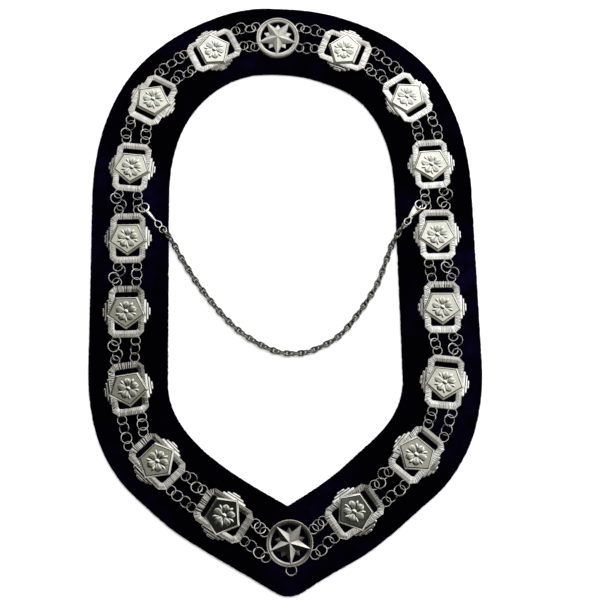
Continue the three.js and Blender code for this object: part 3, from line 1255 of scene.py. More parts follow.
    def shield_outline(self, inset: float) -> list[Vector]:
        """Moves every side of the shield inwards.

        Args:
            inset: How far each side moves.

        Returns:
            The new corners.
        """
        corners = [Vector((*corner, 0.0)) for corner in self.shield]
        moved = []
        for index, corner in enumerate(corners):
            before, after = corners[index - 1], corners[(index + 1) % len(corners)]
            first = beside((corner - before).normalized())
            second = beside((after - corner).normalized())
            moved.append(corner + (first + second) * (inset / (1.0 + first.dot(second))))
        return moved

    def add_shield(self, pad: MetalPad) -> None:
        """Adds the shield with its rim, groove and field.

        Args:
            pad: Where the shield goes.
        """
        sections = []
        field = (self.field_inset, self.field, self.field_polish)
        for inset, height, polish in (*self.shield_steps, field):
            corners = self.shield_outline(inset)
            sections.append([Knot(corner + up(height), polish) for corner in corners])
        pad.loft(sections, rounded=False)

    def add_rosette(self, pad: MetalPad) -> None:
        """Adds the petals and sepals round a boss, in low relief.

        Args:
            pad: Where the rosette goes.
        """
        centre = Vector((0.0, self.rosette_y, 0.0))
        for angle in turns(self.petals, math.pi / 2.0):
            for leaf in self.leaves:
                leaf.add_to(pad, centre + up(self.field), angle + math.radians(leaf.turn))
        pad.dome(centre, self.boss, self.boss_steps)

    def add_wing(self, pad: MetalPad, side: Side) -> None:
        """Adds the three stepped bars beside the frame.

        Args:
            pad: Where the wing goes.
            side: Which side of the plaque.
        """
        for near, far, half, top in self.wing_tiers:
            inner = half - self.wing_bevel
            rows = (
                (-half, *self.wing_end),
                (-inner, 0.0, 0.0),
                (-half / 3.0, self.wing_dip, 0.0),
                (half / 3.0, 0.0, 0.0),
                (inner, self.wing_dip, 0.0),
                (half, *self.wing_end),
            )
            sections = []
            for y, drop, trim in rows:
                tip, crown = far - trim, top - drop
                flat = (tip + self.wing_far[0][0]) - (near + self.wing_near[-1][0])
                low = crown - self.wing_slope * flat
                profile = [(near, self.wing_base, self.wing_base_polish)]
                profile += [(near + x, crown - z, polish) for x, z, polish in self.wing_near]
                profile += [(tip + x, low - z, polish) for x, z, polish in self.wing_far]
                profile += [(tip, self.wing_base, self.wing_base_polish)]
                ring = []
                for x, z, polish in profile:
                    spot = Vector((side.value * x, y, z))
                    ring.append(Knot(spot, polish, (y, x, self.wing_marks)))
                sections.append(ring)
            pad.loft(sections, rounded=False, slot=Layer.FRAME)


@dataclass(frozen=True)
class StarSize:
    """Radius of a star's tips and notches, and height of its back, tips, notches and peak."""

    tip: float
    notch: float
    back: float
    tip_edge: float
    notch_edge: float
    peak: float


@dataclass
class StarMedallion:
    """A grooved hoop round a five-pointed ridged star with short rays between its points.

    The rows of the hoop are radius, height and polish.
    """

    star_polish: float = 1.0
    # Polish of the rays, set low on the front star as painted shade.
    ray_polish_and_shade: float = 1.0
    hoop: tuple[Triple, ...] = (
        (17.8, 3.3, 0.2),
        (22.7, 3.3, 0.2),
        (22.75, 5.4, 0.5),
        (22.5, 6.7, 0.8),
        (22.0, 7.5, 1.0),
        (21.5, 7.85, 1.0),
        (21.1, 7.75, 1.0),
        (20.9, 7.3, 0.1),
        (20.6, 7.25, 0.0),
        (20.4, 7.3, 0.8),
        (19.3, 7.1, 0.85),
        (18.3, 6.8, 0.85),
        (17.95, 6.5, 0.8),
        (17.8, 5.4, 0.3),
    )
    hoop_steps: int = 96
    hoop_marks: float = 0.3
    star: StarSize = StarSize(20.3, 8.8, 5.4, 7.7, 6.5, 9.4)
    rays: StarSize = StarSize(15.0, 9.0, 5.3, 5.85, 5.65, 6.7)
    points: int = 5
    back_polish: float = 0.2
    notch_polish: float = 0.55
    facet_marks: float = 0.25
    facet_stride: float = 3.0
    loop: SolderedLoop = SolderedLoop()
    loop_angle: float = 27.0
    loop_reach: float = 26.2
    pendant: SolderedLoop = SolderedLoop(radius=4.9, wire=0.6, gap=40.0)
    pendant_reach: float = 25.0

    def build(self, where: str, place: Matrix, hanging: bool, materials: list[Material]) -> None:
        """Makes one star medallion.

        Args:
            where: End of the collar, as in the names of its node and piece.
            place: Where the medallion goes, in millimetres.
            hanging: Whether it has a loop for a jewel below it.
            materials: The star's metal and the loops' wire.
        """
        pad = MetalPad()
        pad.lathe(self.hoop, self.hoop_steps, self.hoop_marks)
        quarter = math.pi / 2.0
        self.add_star(pad, self.rays, math.pi / self.points - quarter, self.ray_polish_and_shade)
        self.add_star(pad, self.star, -quarter, self.star_polish)
        aside = math.radians(self.loop_angle)
        for angle in (aside, math.pi - aside, math.pi + aside, -aside):
            spot = spoke(angle, self.loop_reach)
            self.loop.add_to(pad, spot.x, spot.y, angle - quarter)
        if hanging:
            self.pendant.add_to(pad, 0.0, -self.pendant_reach, math.pi)
        piece = pad.finish(f"star_medallion_{where}", place, materials)
        mount(piece, f"star_{where}")

    def add_star(self, pad: MetalPad, size: StarSize, turn: float, polish: float) -> None:
        """Adds a star with a flat back, thin edges and a ridge along each point.

        Args:
            pad: Where the star goes.
            size: Its sizes.
            turn: Way that the first point goes, in radians.
            polish: How bright the star is kept; set low on the front star's rays as painted shade.
        """
        low, high = [], []
        count = 2 * self.points
        for index, angle in enumerate(turns(count, turn)):
            notched = index % 2 == 1
            radius = size.notch if notched else size.tip
            edge = size.notch_edge if notched else size.tip_edge
            bright = polish * self.notch_polish if notched else polish
            grain = (radius, self.facet_stride * index, self.facet_marks)
            low.append(Knot(spoke(angle, radius, size.back), self.back_polish))
            high.append(Knot(spoke(angle, radius, edge), bright, grain))
        first = len(pad.knots)
        peak = Knot(up(size.peak), polish, (0.0, 0.0, self.facet_marks))
        pad.knots += [*low, *high, Knot(up(size.back)), peak]
        bottom, crown = first + 2 * count, first + 2 * count + 1
        for index in range(count):
            here, there = first + index, first + (index + 1) % count
            pad.face((bottom, there, here), rounded=False)
            pad.face((here, there, there + count, here + count), rounded=False)
            pad.face((crown, here + count, there + count), rounded=False)


# ---------------------------------------------------------------------------------------------
# Places of the medallions


@dataclass(frozen=True)
class PlaqueSpot:
    """Where a plaque lies, mirrored on the left: its middle, turn and the way of its flat.

    The lean tips it towards the front, and the polish is that of its field, set low as painted
    shade on the plaques nearest the front.
    """

    x: float
    y: float
    turn: float
    flat: int
    lean: float = 0.0
    polish: float = 1.0
    tilt: float = 0.6

    def place(self, side: Side, chance: random.Random) -> Matrix:
        """Gives the plaque's place, with the slight tilt of one that lies on pile.

        Args:
            side: Which side of the collar.
            chance: Source of the tilt.

        Returns:
            The place in millimetres, tilted about the height of the loops.
        """
        turn = math.radians(self.turn * side.value + (0.0 if self.flat > 0 else 180.0))
        spot = Vector((side.value * self.x, self.y, 0.0))
        flat = Matrix.Translation(spot) @ Matrix.Rotation(turn, 4, "Z")
        lift = Matrix.Translation(spot + up(LOOP_HEIGHT))
        tip = math.radians(chance.uniform(-self.tilt, self.tilt) - self.lean)
        roll = math.radians(chance.uniform(-self.tilt, self.tilt))
        tilted = Matrix.Rotation(tip, 4, "X") @ Matrix.Rotation(roll, 4, "Y")
        return lift @ tilted @ lift.inverted() @ flat

    def point(self, across: float, along: float) -> Vector:
        """Gives a point beside the plaque's middle, on the right-hand side."""
        turned = Matrix.Rotation(math.radians(self.turn), 2) @ Vector((across, along))
        return Vector((self.x, self.y)) + turned


@dataclass(frozen=True)
class StarSpot:
    """Where a star medallion lies: its middle and its turn in degrees."""

    x: float
    y: float
    turn: float

    def place(self) -> Matrix:
        """Gives the medallion's place, in millimetres."""
        turn = Matrix.Rotation(math.radians(self.turn), 4, "Z")
        return Matrix.Translation((self.x, self.y, 0.0)) @ turn

    def point(self, side: Side, reach: float, degrees: float) -> Vector:
        """Gives a point round the star, mirrored on the left."""
        angle = math.radians(side.value * self.turn + degrees)
        return Vector((side.value * self.x, self.y)) + spoke(angle, reach).to_2d()


PLAQUE_ROWS = {
    Side.RIGHT: (
        PlaqueSpot(68.9, 254.4, 67.5, -1),
        PlaqueSpot(132.7, 198.9, 31.8, -1),
        PlaqueSpot(154.0, 124.3, 2.7, 1),
        PlaqueSpot(156.3, 48.3, -0.4, 1),
        PlaqueSpot(157.6, -27.5, -1.1, 1),
        PlaqueSpot(156.1, -103.4, -7.6, 1),
        # Painted shade: the last value of the seventh and eighth rows makes the shield's field
        # dull and dark, in place of the dark reflection over them.
        PlaqueSpot(125.2, -174.0, -41.4, 1, -0.4, 0.85),
        PlaqueSpot(63.7, -227.2, -56.6, 1, -0.5, 0.2),
    ),
    Side.LEFT: (
        PlaqueSpot(68.8, 257.6, 64.5, -1),
        PlaqueSpot(132.5, 202.2, 29.0, -1),
        PlaqueSpot(153.4, 128.0, 6.6, 1),
        PlaqueSpot(156.5, 51.7, 0.0, 1),
        PlaqueSpot(157.0, -25.0, -0.1, 1),
        PlaqueSpot(153.8, -103.1, -7.6, 1, 1.0),
        PlaqueSpot(125.1, -174.9, -43.5, 1, 2.4),
        # Painted shade: the last value of this row makes its shield's field dark.
        PlaqueSpot(61.3, -228.3, -56.6, 1, 0.2, -0.05),
    ),
}
STAR_BACK = StarSpot(-1.4, 271.0, -2.5)
STAR_FRONT = StarSpot(1.4, -255.7, 2.1)


# ---------------------------------------------------------------------------------------------
# Jump rings, chain and clasps


def swept(board: NodeBoard, curve: Socket, radius: Socket, sides: int) -> Socket:
    """Adds the nodes that sweep a round wire along a curve.

    Args:
        board: Board of the geometry tree.
        curve: Middle line of the wire.
        radius: Radius of the wire.
        sides: Number of sides of the wire.

    Returns:
        The wire's mesh.
    """
    circle_inputs = {"Resolution": sides, "Radius": radius}
    circle = board.add("GeometryNodeCurvePrimitiveCircle", circle_inputs, mode="RADIUS")
    inputs = {"Curve": curve, "Profile Curve": circle.outputs["Curve"], "Fill Caps": True}
    return board.add("GeometryNodeCurveToMesh", inputs).outputs["Mesh"]


def laid_out(
    board: NodeBoard,
    points: Socket,
    wire: Socket,
    way: Socket,
    axis: str,
    spin: Socket,
    metal: Socket,
) -> Socket:
    """Adds the nodes that put a wire ring on every point and make the copies real.

    Args:
        board: Board of the geometry tree.
        points: Where the rings go.
        wire: Mesh of one ring.
        way: Way that the ring's axis points at each place.
        axis: The ring's axis, X or Z.
        spin: Turn about that axis, in radians.
        metal: The rings' material.

    Returns:
        The finished geometry.
    """
    about = (float(axis == "X"), 0.0, float(axis == "Z"))
    facing = board.add("FunctionNodeAlignRotationToVector", {"Vector": way}, axis=axis)
    spun = board.add("FunctionNodeAxisAngleToRotation", {"Axis": about, "Angle": spin})
    turn_inputs = {"Rotation": facing.outputs[0], "Rotate By": spun.outputs[0]}
    turn = board.add("FunctionNodeRotateRotation", turn_inputs, rotation_space="LOCAL").outputs[0]
    inputs = {"Points": points, "Instance": wire, "Rotation": turn}
    placed = board.add("GeometryNodeInstanceOnPoints", inputs).outputs["Instances"]
    real = board.add("GeometryNodeRealizeInstances", {"Geometry": placed}).outputs[0]
    smooth = board.add("GeometryNodeSetShadeSmooth", {"Geometry": real}).outputs[0]
    return board.add("GeometryNodeSetMaterial", {"Geometry": smooth, "Material": metal}).outputs[0]


@cache
def jump_ring_tree() -> bpy.types.NodeTree:
    """Makes the geometry tree that puts a split ring on every point of a strand.

    Returns:
        The tree, with inputs for the ring's sizes and its material.
    """
    board, given, result = new_group(
        "jump_rings",
        "GeometryNodeTree",
        {
            "Strand": "NodeSocketGeometry",
            "Ring Radius": 0.0055,
            "Wire Radius": 0.00055,
            "Closed Angle": 6.16,
            "Seed": 7,
            "Metal": "NodeSocketMaterial",
        },
        {"Rings": "NodeSocketGeometry"},
    )
    ring_steps, wire_sides = 29, 8
    arc_inputs = {"Resolution": ring_steps, "Radius": given["Ring Radius"]}
    arc_inputs["Sweep Angle"] = given["Closed Angle"]
    arc = board.add("GeometryNodeCurveArc", arc_inputs, mode="RADIUS").outputs["Curve"]
    wire = swept(board, arc, given["Wire Radius"], wire_sides)
    named = {"Name": "ring_facing"}
    way = board.add("GeometryNodeInputNamedAttribute", named, data_type="FLOAT_VECTOR").outputs[0]
    chance_inputs = {2: 0.0, 3: FULL_TURN, "Seed": given["Seed"]}
    spin = board.add("FunctionNodeRandomValue", chance_inputs, data_type="FLOAT").outputs[1]
    rings = laid_out(board, given["Strand"], wire, way, "Z", spin, given["Metal"])
    board.fill(result, {"Rings": rings})
    return board.tree


@dataclass
class RingStrand:
    """Loose jump rings that join two soldered loops, each leaning over and under its neighbours.

    A strand of two rings that has slack lets them swing aside from its line.
    """

    gap: int
    rank: Rank
    side: Side
    radius: float = 5.5
    wire: float = 0.5
    loop: SolderedLoop = SolderedLoop()
    lift: float = 1.6
    bite: float = 1.1
    outer_counts: tuple[int, ...] = (2, 3, 2, 2, 2, 2, 2, 2, 2)
    inner_counts: tuple[int, ...] = (1, 2, 1, 1, 1, 1, 1, 2, 1)
    taut_span: float = 26.0
    slack_span: float = 9.6
    most_slack: float = 1.3
    swing: float = 40.0
    swing_lean: float = 0.45
    least_chord: float = 6.0
    seed_steps: tuple[int, int] = (11, 3)

    @property
    def where(self) -> str:
        """Place of the strand, as in the names of its node and piece."""
        return f"{self.side.label}_{self.rank.name.lower()}_{self.gap + 1}"

    def ends(self) -> tuple[Vector, Vector]:
        """Finds the middles of the two loops that the strand joins, mirrored on the left.

        Returns:
            The loop nearer the back of the neck and the loop nearer the front.
        """
        plaque, star = PlaqueMedallion(), StarMedallion()
        rows = PLAQUE_ROWS[self.side]
        angle, across = self.rank.value * star.loop_angle, self.rank.value * plaque.loop_spread
        if self.gap == 0:
            first = STAR_BACK.point(self.side, star.loop_reach, angle)
        else:
            first = rows[self.gap - 1].point(across, -plaque.loop_end)
        if self.gap == len(rows):
            last = STAR_FRONT.point(self.side, star.loop_reach, -angle)
        else:
            last = rows[self.gap].point(across, plaque.loop_end)
        return first, last

    def rings(self) -> list[tuple[Vector, Vector]]:
        """Places the rings of the strand, mirrored on the left.

        Returns:
            The middle and the facing of each ring, in millimetres.
        """
        first, last = self.ends()
        counts = self.outer_counts if self.rank is Rank.OUTER else self.inner_counts
        count = counts[self.gap]
        span = (last - first).length
        ahead = (last - first) / span
        left = Vector((-ahead.y, ahead.x))
        slack = min(max((self.taut_span - span) / self.slack_span, 0.0), self.most_slack)
        swing = math.radians(self.swing) * slack if count == 2 else 0.0
        tipped = math.cos(math.atan(self.swing_lean * math.sin(swing)))
        step = 2.0 * self.radius * tipped - self.bite
        aside, stride = step * math.sin(swing) / 2.0, step * math.cos(swing)
        along = (span - (count - 1) * stride) / 2.0
        distance = math.hypot(along, aside)
        loop_square = self.loop.radius**2
        crossing = (distance**2 + loop_square - self.radius**2) / (2.0 * distance)
        sideways = aside / distance
        chord = max(loop_square - crossing**2, self.least_chord)
        lean = self.lift / math.sqrt(chord * (1.0 - sideways**2))
        height = self.loop.height + (distance - crossing) * lean * sideways
        sign = 1 if (self.gap + (self.rank is Rank.INNER)) % 2 else -1
        placed = []
        for index in range(count):
            middle = first + ahead * (along + index * stride) + left * (aside * sign)
            climb = left * (lean * sign)
            facing = Vector((-climb.x, -climb.y, 1.0)).normalized()
            placed.append((Vector((middle.x, middle.y, height)), facing))
            sign = -sign
        return placed

    def build(self, metal: Material) -> None:
        """Makes the strand's rings.

        Args:
            metal: The wire's material.
        """
        rings = self.rings()
        mirror = Matrix.Scale(self.side.value, 3, (1.0, 0.0, 0.0))
        name = f"rings_{self.where}"
        mesh = bpy.data.meshes.new(f"{name}_points")
        mesh.from_pydata([mirror @ middle * MM for middle, _ in rings], [], [])
        facing = mesh.attributes.new("ring_facing", "FLOAT_VECTOR", "POINT")
        facing.data.foreach_set("vector", [value for _, way in rings for value in mirror @ way])
        strand = add_object(name, mesh)
        gap_step, rank_step = self.seed_steps
        values = {
            "Ring Radius": self.radius * MM,
            "Wire Radius": self.wire * MM,
            "Seed": gap_step * self.gap + rank_step * self.rank.value + self.side.value,
            "Metal": metal,
        }
        settle_nodes(strand, jump_ring_tree(), values)
        mount(strand, f"links_{self.where}")


def neck_link_tree() -> bpy.types.NodeTree:
    """Makes the geometry tree that lays oval links along a route, rolled three ways in turn.

    Returns:
        The tree, with inputs for the link's sizes, the roll and the material.
    """
    board, given, result = new_group(
        "neck_links",
        "GeometryNodeTree",
        {
            "Route": "NodeSocketGeometry",
            "Pitch": 0.0058,
            "Link Length": 0.0071,
            "Link Width": 0.0036,
            "Wire Radius": 0.00065,
            "Roll": 0.75,
            "Metal": "NodeSocketMaterial",
        },
        {"Links": "NodeSocketGeometry"},
    )
    corner_share, corner_steps, wire_sides, ways = 0.47, 5, 6, 3.0
    curve = board.add("GeometryNodeMeshToCurve", {"Mesh": given["Route"]}).outputs["Curve"]
    stop_inputs = {"Curve": curve, "Length": given["Pitch"]}
    stops = board.add("GeometryNodeCurveToPoints", stop_inputs, mode="LENGTH").outputs
    sizes = {"Width": given["Link Length"], "Height": given["Link Width"]}
    box = board.add("GeometryNodeCurvePrimitiveQuadrilateral", sizes, mode="RECTANGLE")
    corner = board.maths("MULTIPLY", given["Link Width"], corner_share)
    oval_inputs = {"Curve": box.outputs["Curve"], "Radius": corner, "Count": corner_steps}
    oval_inputs["Limit Radius"] = True
    oval = board.add("GeometryNodeFilletCurve", oval_inputs, mode="POLY").outputs["Curve"]
    wire = swept(board, oval, given["Wire Radius"], wire_sides)
    order = board.add("GeometryNodeInputIndex").outputs["Index"]
    way = board.maths("SUBTRACT", board.maths("MODULO", order, ways), 1.0)
    roll = board.maths("MULTIPLY", way, given["Roll"])
    points, tangent = stops["Points"], stops["Tangent"]
    links = laid_out(board, points, wire, tangent, "X", roll, given["Metal"])
    board.fill(result, {"Links": links})
    return board.tree


@dataclass
class NeckChain:
    """A fine chain of twisted oval links that hangs across the neck opening."""

    route: tuple[Triple, ...] = (
        (-118.6, 57.9, 5.8),
        (-114.7, 52.2, 5.75),
        (-109.3, 43.6, 4.2),
        (-102.0, 29.5, 2.9),
        (-79.7, -6.0, 2.8),
        (-48.0, -43.6, 2.8),
        (-13.9, -65.9, 2.8),
        (12.1, -70.6, 2.8),
        (35.0, -64.8, 2.8),
        (60.3, -48.0, 2.8),
        (90.6, -7.3, 2.8),
        (103.5, 22.0, 2.9),
        (109.6, 37.6, 4.2),
        (115.3, 47.9, 5.75),
        (121.0, 55.8, 5.85),
        (124.6, 60.2, 5.4),
    )
    pitch: float = 4.5
    link_length: float = 6.5
    link_width: float = 4.6
    wire: float = 0.95
    roll: float = 55.0
    steps: int = 12

    def path(self) -> list[Vector]:
        """Smooths the route, through every one of its points.

        Returns:
            The points of the smooth route.
        """
        stops = [Vector(stop) for stop in self.route]
        stops = [stops[0], *stops, stops[-1]]
        walked = []
        for before, start, stop, after in zip(stops, stops[1:], stops[2:], stops[3:]):
            for step in range(self.steps):
                t = step / self.steps
                bend = 2 * before - 5 * start + 4 * stop - after
                twist = 3 * start - before - 3 * stop + after
                curve = 2 * start + (stop - before) * t + bend * t**2 + twist * t**3
                walked.append(curve / 2.0)
        return walked + [stops[-1]]

    def build(self, metal: Material) -> None:
        """Makes the chain.

        Args:
            metal: The links' material.
        """
        path = self.path()
        mesh = bpy.data.meshes.new("neck_route")
        steps = [(index, index + 1) for index in range(len(path) - 1)]
        mesh.from_pydata([spot * MM for spot in path], steps, [])
        chain = add_object("neck_links", mesh)
        values = {
            "Pitch": self.pitch * MM,
            "Link Length": self.link_length * MM,
            "Link Width": self.link_width * MM,
            "Wire Radius": self.wire * MM,
            "Roll": math.radians(self.roll),
            "Metal": metal,
        }
        settle_nodes(chain, neck_link_tree(), values)
        mount(chain, "neck_chain")


@dataclass(frozen=True)
class ClaspSpot:
    """Where a clasp lies, mirrored on the left: its claw and its eye.

    Broad is the share of the body's breadth that shows from above, and linked is whether a round
    link joins it to the chain.
    """

    claw: Pair
    eye: Pair
    broad: float
    linked: bool


CLASP_SPOTS = {
    Side.RIGHT: ClaspSpot((141.1, 80.5), (127.1, 63.3), 1.0, False),
    Side.LEFT: ClaspSpot((141.0, 83.8), (126.2, 66.2), 0.25, True),
}


@dataclass
class LobsterClasp:
    """A sprung claw through a plaque's loop, with a forked body, a pin and an eye for the chain.

    The arm's girth is its root, belly and taper, its belly's span is a share of a half turn, and
    its breadth is a constant and a part that goes with how broad the clasp looks. The collar is
    rows of place along and radius.
    """

    side: Side
    loop_plaque: int = 3
    height: float = LOOP_HEIGHT
    radius: float = 5.5
    wire: float = 0.75
    lift: float = 1.4
    claw_steps: int = 36
    claw_sides: int = 10
    claw_swell: float = 0.3
    pin_turns: Pair = (0.5, 0.25)
    pin_start: float = 0.3
    pin_radii: Pair = (0.62, 0.5)
    body_steps: int = 10
    arm_back: float = 0.8
    arm_aside: float = 2.0
    arm_rise: float = 0.4
    arm_girth: Triple = (2.5, 0.7, 0.9)
    arm_belly: Pair = (0.1, 0.7)
    arm_breadth: Pair = (0.35, 0.65)
    arm_flat: float = 0.45
    arm_sides: int = 12
    lever_back: float = 0.5
    lever_aside: Pair = (3.2, 0.5)
    lever_reach: float = 0.82
    lever_lift: float = 0.35
    lever_girth: Pair = (0.85, 0.45)
    collar: tuple[Pair, ...] = ((-1.6, 1.25), (-0.8, 1.5), (0.2, 1.1))
    collar_sides: int = 10
    eye_height: float = 6.0
    eye_half: Pair = (4.2, 3.3)
    eye_wire: float = 0.68
    eye_pinch: float = 0.35
    eye_steps: int = 26
    eye_overlap: float = 0.4
    link_ahead: float = 7.8
    link_radius: float = 3.5
    link_wire: float = 0.42
    link_tilt: float = 0.3
    link_steps: int = 24
    crease: float = 50.0

    def facing(self, claw: Vector) -> Vector:
        """Works out how the claw's ring leans to pass over and under the plaque's loop.

        Args:
            claw: Middle of the claw, seen from above.

        Returns:
            The way that the ring faces.
        """
        plaque = PlaqueMedallion()
        row = PLAQUE_ROWS[self.side][self.loop_plaque]
        away = claw - row.point(-plaque.loop_spread, plaque.loop_end)
        loop_square = plaque.loop.radius**2
        crossing = (away.length**2 + loop_square - self.radius**2) / (2.0 * away.length)
        lean = self.lift / math.sqrt(loop_square - crossing**2)
        away.normalize()
        return Vector((away.y * lean, -away.x * lean, 1.0)).normalized()

    def build(self, metal: Material) -> None:
        """Makes the clasp.

        Args:
            metal: The clasp's material.
        """
        spot = CLASP_SPOTS[self.side]
        pad = MetalPad()
        lean = up(1.0).rotation_difference(self.facing(Vector(spot.claw)))
        middle, eye = Vector((*spot.claw, self.height)), Vector((*spot.eye, self.eye_height))
        level = Vector((eye.x - middle.x, eye.y - middle.y, 0.0)).normalized()
        throat = middle + lean @ (level * self.radius)
        neck = eye - level * (self.eye_half[0] - self.eye_overlap)
        self.add_claw(pad, middle, lean, math.atan2(level.y, level.x))
        self.add_body(pad, throat, neck, spot.broad)
        self.add_eye(pad, eye, level)
        if spot.linked:
            self.add_link(pad, eye + level * self.link_ahead)
        mirror = Matrix.Scale(self.side.value, 4, (1.0, 0.0, 0.0))
        piece = pad.finish(f"lobster_clasp_{self.side.label}", mirror, [metal], self.crease)
        mount(piece, f"clasp_{self.side.label}")

    def add_claw(self, pad: MetalPad, middle: Vector, lean: Quaternion, root: float) -> None:
        """Adds the ring of the claw, thicker towards its root, and the lever's pin.

        Args:
            pad: Where the claw goes.
            middle: Middle of the claw's ring.
            lean: Turn of its plane.
            root: Angle at which it meets the body, in radians.
        """
        ring, radii = [], []
        for angle in turns(self.claw_steps, root):
            ring.append(middle + lean @ spoke(angle, self.radius))
            radii.append(self.wire + self.claw_swell * max(0.0, math.cos(angle - root)) ** 3)
        pad.tube(ring, radii, self.claw_sides, looped=True)
        pin = []
        for turn, share in zip(self.pin_turns, (self.pin_start, 1.0)):
            pin.append(middle + lean @ spoke(root + turn, share * self.radius))
        pad.tube(pin, list(self.pin_radii))

    def add_body(self, pad: MetalPad, throat: Vector, neck: Vector, broad: float) -> None:
        """Adds the forked body: a thick arm, a lighter lever and the collar where they meet.

        Args:
            pad: Where the body goes.
            throat: Where the body meets the claw.
            neck: Where the body meets the eye.
            broad: Breadth of the fork as a share of its full breadth.
        """
        level = Vector((neck.x - throat.x, neck.y - throat.y, 0.0)).normalized()
        aside = beside(level) * broad
        sunk = up(throat.z - neck.z + self.arm_rise)
        root, belly, taper = self.arm_girth
        breadth = self.arm_breadth[0] + self.arm_breadth[1] * broad
        arm, arm_radii, lever, lever_radii = [], [], [], []
        for step in range(self.body_steps + 1):
            t = step / self.body_steps
            back = level * self.arm_back + aside * self.arm_aside + sunk
            arm.append(throat.lerp(neck, t) - back * (1.0 - t))
            bulge = belly * math.sin(math.pi * (self.arm_belly[0] + self.arm_belly[1] * t))
            arm_radii.append((root + bulge - taper * t) * breadth)
            spread = aside * (self.lever_aside[0] * (1.0 - t) + self.lever_aside[1])
            spot = throat.lerp(neck, self.lever_reach * t) + spread + up(self.lever_lift)
            lever.append(spot - level * (self.lever_back * (1.0 - t)))
            lever_radii.append(self.lever_girth[0] + self.lever_girth[1] * t)
        pad.tube(arm, arm_radii, self.arm_sides, flatten=self.arm_flat)
        pad.tube(lever, lever_radii)
        path = [neck + level * ahead for ahead, _ in self.collar]
        pad.tube(path, [radius for _, radius in self.collar], self.collar_sides)

    def add_eye(self, pad: MetalPad, eye: Vector, level: Vector) -> None:
        """Adds the teardrop eye.

        Args:
            pad: Where the eye goes.
            eye: Middle of the eye.
            level: Way from the claw to the eye.
        """
        half, aside = self.eye_half[0], beside(level) * self.eye_half[1]
        drop = []
        for angle in turns(self.eye_steps):
            pinch = 1.0 - self.eye_pinch * (0.5 - 0.5 * math.cos(angle)) ** 2
            ahead = level * (half * math.cos(angle))
            drop.append(eye + ahead + aside * (math.sin(angle) * pinch))
        pad.tube(drop, [self.eye_wire] * len(drop), looped=True)

    def add_link(self, pad: MetalPad, middle: Vector) -> None:
        """Adds the round link between the eye and the chain.

        Args:
            pad: Where the link goes.
            middle: Middle of the link.
        """
        ring = []
        for angle in turns(self.link_steps):
            spot = spoke(angle, self.link_radius)
            ring.append(middle + spot + up(self.link_tilt * spot.x))
        pad.tube(ring, [self.link_wire] * len(ring), looped=True)


# ---------------------------------------------------------------------------------------------
# Studio


@dataclass(frozen=True)
class Softbox:
    """A rectangular lamp that faces the collar, which the metal may or may not mirror."""

    name: str
    place: Triple
    size: Pair
    watts: float
    mirrored: bool

    def hang(self) -> None:
        """Hangs the lamp."""
        data = bpy.data.lights.new(self.name, "AREA")
        data.shape = "RECTANGLE"
        data.size, data.size_y = self.size[0] * MM, self.size[1] * MM
        data.energy = self.watts
        light = add_object(self.name, data)
        light.visible_glossy = self.mirrored
        light.location = Vector(self.place) * MM
        light.rotation_euler = (-Vector(self.place)).to_track_quat("-Z", "Y").to_euler()


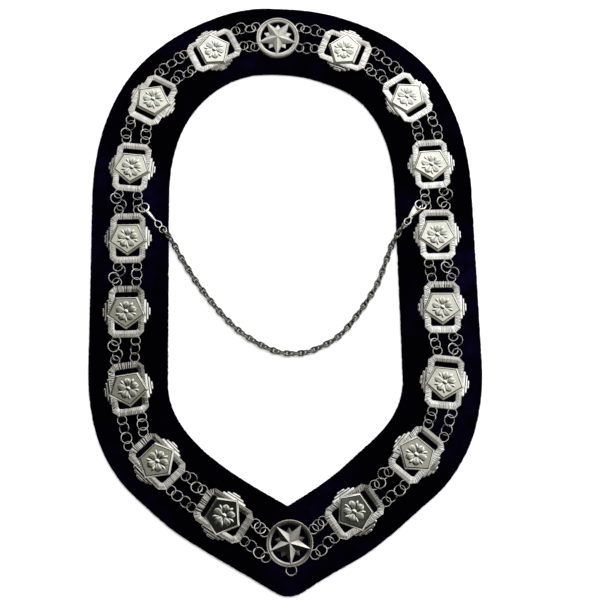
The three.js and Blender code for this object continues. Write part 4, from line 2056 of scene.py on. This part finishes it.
@dataclass
class Studio:
    """A white floor, soft light from the back and above, and the camera above the front.

    The glow is the room's light along the way to the back and the right: its range and its dimmest
    and brightest value. Past that range it gains a little more.
    """

    camera_at: Triple = (15.8, -345.7, 1220.0)
    camera_on: Triple = (16.2, -16.1, 3.0)
    camera_roll: float = 1.22
    camera_far: float = 100.0
    view_angle: float = 26.77
    floor_half: float = 9000.0
    floor_height: float = -0.05
    floor_tones: tuple[Triple, Triple] = ((0.90, 0.90, 0.90), (0.93, 0.93, 0.93))
    floor_mottle: float = 3.0
    floor_roughness: float = 0.9
    glow_range: Pair = (0.07, 0.42)
    glow: Pair = (0.015, 1.45)
    glow_warm: Triple = (1.0, 0.985, 0.84)
    glow_cool: Triple = (0.97, 0.98, 1.0)
    glow_aside: float = 0.65
    glow_end: float = 0.95
    glow_far: float = 0.3
    table_range: Pair = (0.02, 0.42)
    table_glow: float = 0.5
    softboxes: tuple[Softbox, ...] = (
        Softbox("softbox_above", (0.0, 150.0, 2300.0), (2400.0, 2400.0), 58.0, False),
        Softbox("softbox_back", (450.0, 1400.0, 1300.0), (1500.0, 300.0), 2.6, True),
        Softbox("softbox_right", (1500.0, 250.0, 1000.0), (220.0, 800.0), 2.0, True),
    )

    def build(self) -> None:
        """Makes the floor, the lights and the camera."""
        self.add_floor()
        self.add_camera()
        self.add_world()
        for softbox in self.softboxes:
            softbox.hang()
        bpy.context.scene.view_settings.view_transform = "Standard"
        log.info("studio: floor, %d softboxes and camera", len(self.softboxes))

    def add_floor(self) -> None:
        """Lays the pale floor just under the band."""
        half = self.floor_half
        corners = ((-half, -half), (half, -half), (half, half), (-half, half))
        mesh = bpy.data.meshes.new("floor")
        spots = [Vector((x, y, self.floor_height)) * MM for x, y in corners]
        mesh.from_pydata(spots, [], [(0, 1, 2, 3)])
        material, board, shader = new_material("pale_floor")
        mottle = board.noise(board.place(), self.floor_mottle, detail=2.0)
        tone = board.blend(mottle, *(opaque(colour) for colour in self.floor_tones))
        board.fill(shader, {"Base Color": tone, "Roughness": self.floor_roughness})
        mesh.materials.append(material)
        floor = add_object("floor", mesh)

    def add_camera(self) -> None:
        """Puts the camera at the photograph's viewing angle."""
        data = bpy.data.cameras.new("camera")
        data.angle = math.radians(self.view_angle)
        data.clip_end = self.camera_far
        camera = add_object("camera", data)
        back = (Vector(self.camera_at) - Vector(self.camera_on)).normalized()
        roll = math.radians(self.camera_roll)
        right = Vector((math.sin(roll), math.cos(roll), 0.0)).cross(back).normalized()
        turn = Matrix((right, back.cross(right), back)).transposed().to_4x4()
        camera.matrix_world = Matrix.Translation(Vector(self.camera_at) * MM) @ turn
        bpy.context.scene.camera = camera

    def add_world(self) -> None:
        """Lights the room, brightest behind the neck and to the right, over a pale table."""
        world = bpy.data.worlds.new("studio_room")
        world.use_nodes = True
        board = NodeBoard(world.node_tree)
        around = board.add("ShaderNodeTexCoord").outputs["Generated"]
        way = board.add("ShaderNodeSeparateXYZ", {"Vector": around}).outputs
        sideways = board.maths("MULTIPLY", way["X"], self.glow_aside)
        toward = board.maths("ADD", way["Y"], sideways)
        past = (self.glow_range[1], self.glow_end)
        near = board.span(toward, self.glow_range, *self.glow)
        glow = board.maths("ADD", near, board.span(toward, past, 0.0, self.glow_far))
        table = board.span(way["Z"], self.table_range, self.table_glow, 0.0)
        cool = board.span(toward, self.glow_range)
        light = {
            "Color": board.blend(cool, opaque(self.glow_warm), opaque(self.glow_cool)),
            "Strength": board.maths("ADD", glow, table),
        }
        board.fill(world.node_tree.nodes["Background"], light)
        bpy.context.scene.world = world


def main() -> None:
    """Builds the collar piece by piece and sets it in the studio."""
    logging.basicConfig(level=logging.INFO, format="%(name)s %(message)s")
    Studio().build()
    VelvetBand().build(PileFinish().material(), LiningFinish().material())
    wire, clasp = WIRE_SILVER.material(), CLASP_SILVER.material()
    shield, bright = SHIELD_SILVER.material(), FRAME_SILVER.material()
    worn_and_shaded = SHADED_FRAME.material()
    first_seed = 100
    for side in Side:
        for number, spot in enumerate(PLAQUE_ROWS[side], start=1):
            seed = first_seed + number * side.value
            # Painted shade: the left-hand plaques and the first pair take the darker copy of the
            # frame silver.
            metals = [shield, wire, worn_and_shaded if number == 1 or side is Side.LEFT else bright]
            place = spot.place(side, random.Random(seed))
            # The field's polish comes from its row, set low as painted shade on the plaques
            # nearest the front.
            plaque = PlaqueMedallion(field_polish=spot.polish)
            plaque.build(f"{side.label}_{number}", place, seed, metals)
    # Painted shade: the front star's rays are set dull, and it takes the darker copy of the star
    # silver.
    back, front = StarMedallion(star_polish=0.80), StarMedallion(ray_polish_and_shade=0.3)
    back.build("back", STAR_BACK.place(), False, [STAR_SILVER.material(), wire])
    front.build("front", STAR_FRONT.place(), True, [SHADED_STAR.material(), wire])
    for side in Side:
        for rank in Rank:
            for gap in range(len(PLAQUE_ROWS[side]) + 1):
                RingStrand(gap, rank, side).build(wire)
        LobsterClasp(side).build(clasp)
    NeckChain().build(SHADED_CHAIN_SILVER.material())


if __name__ == "__main__":
    main()
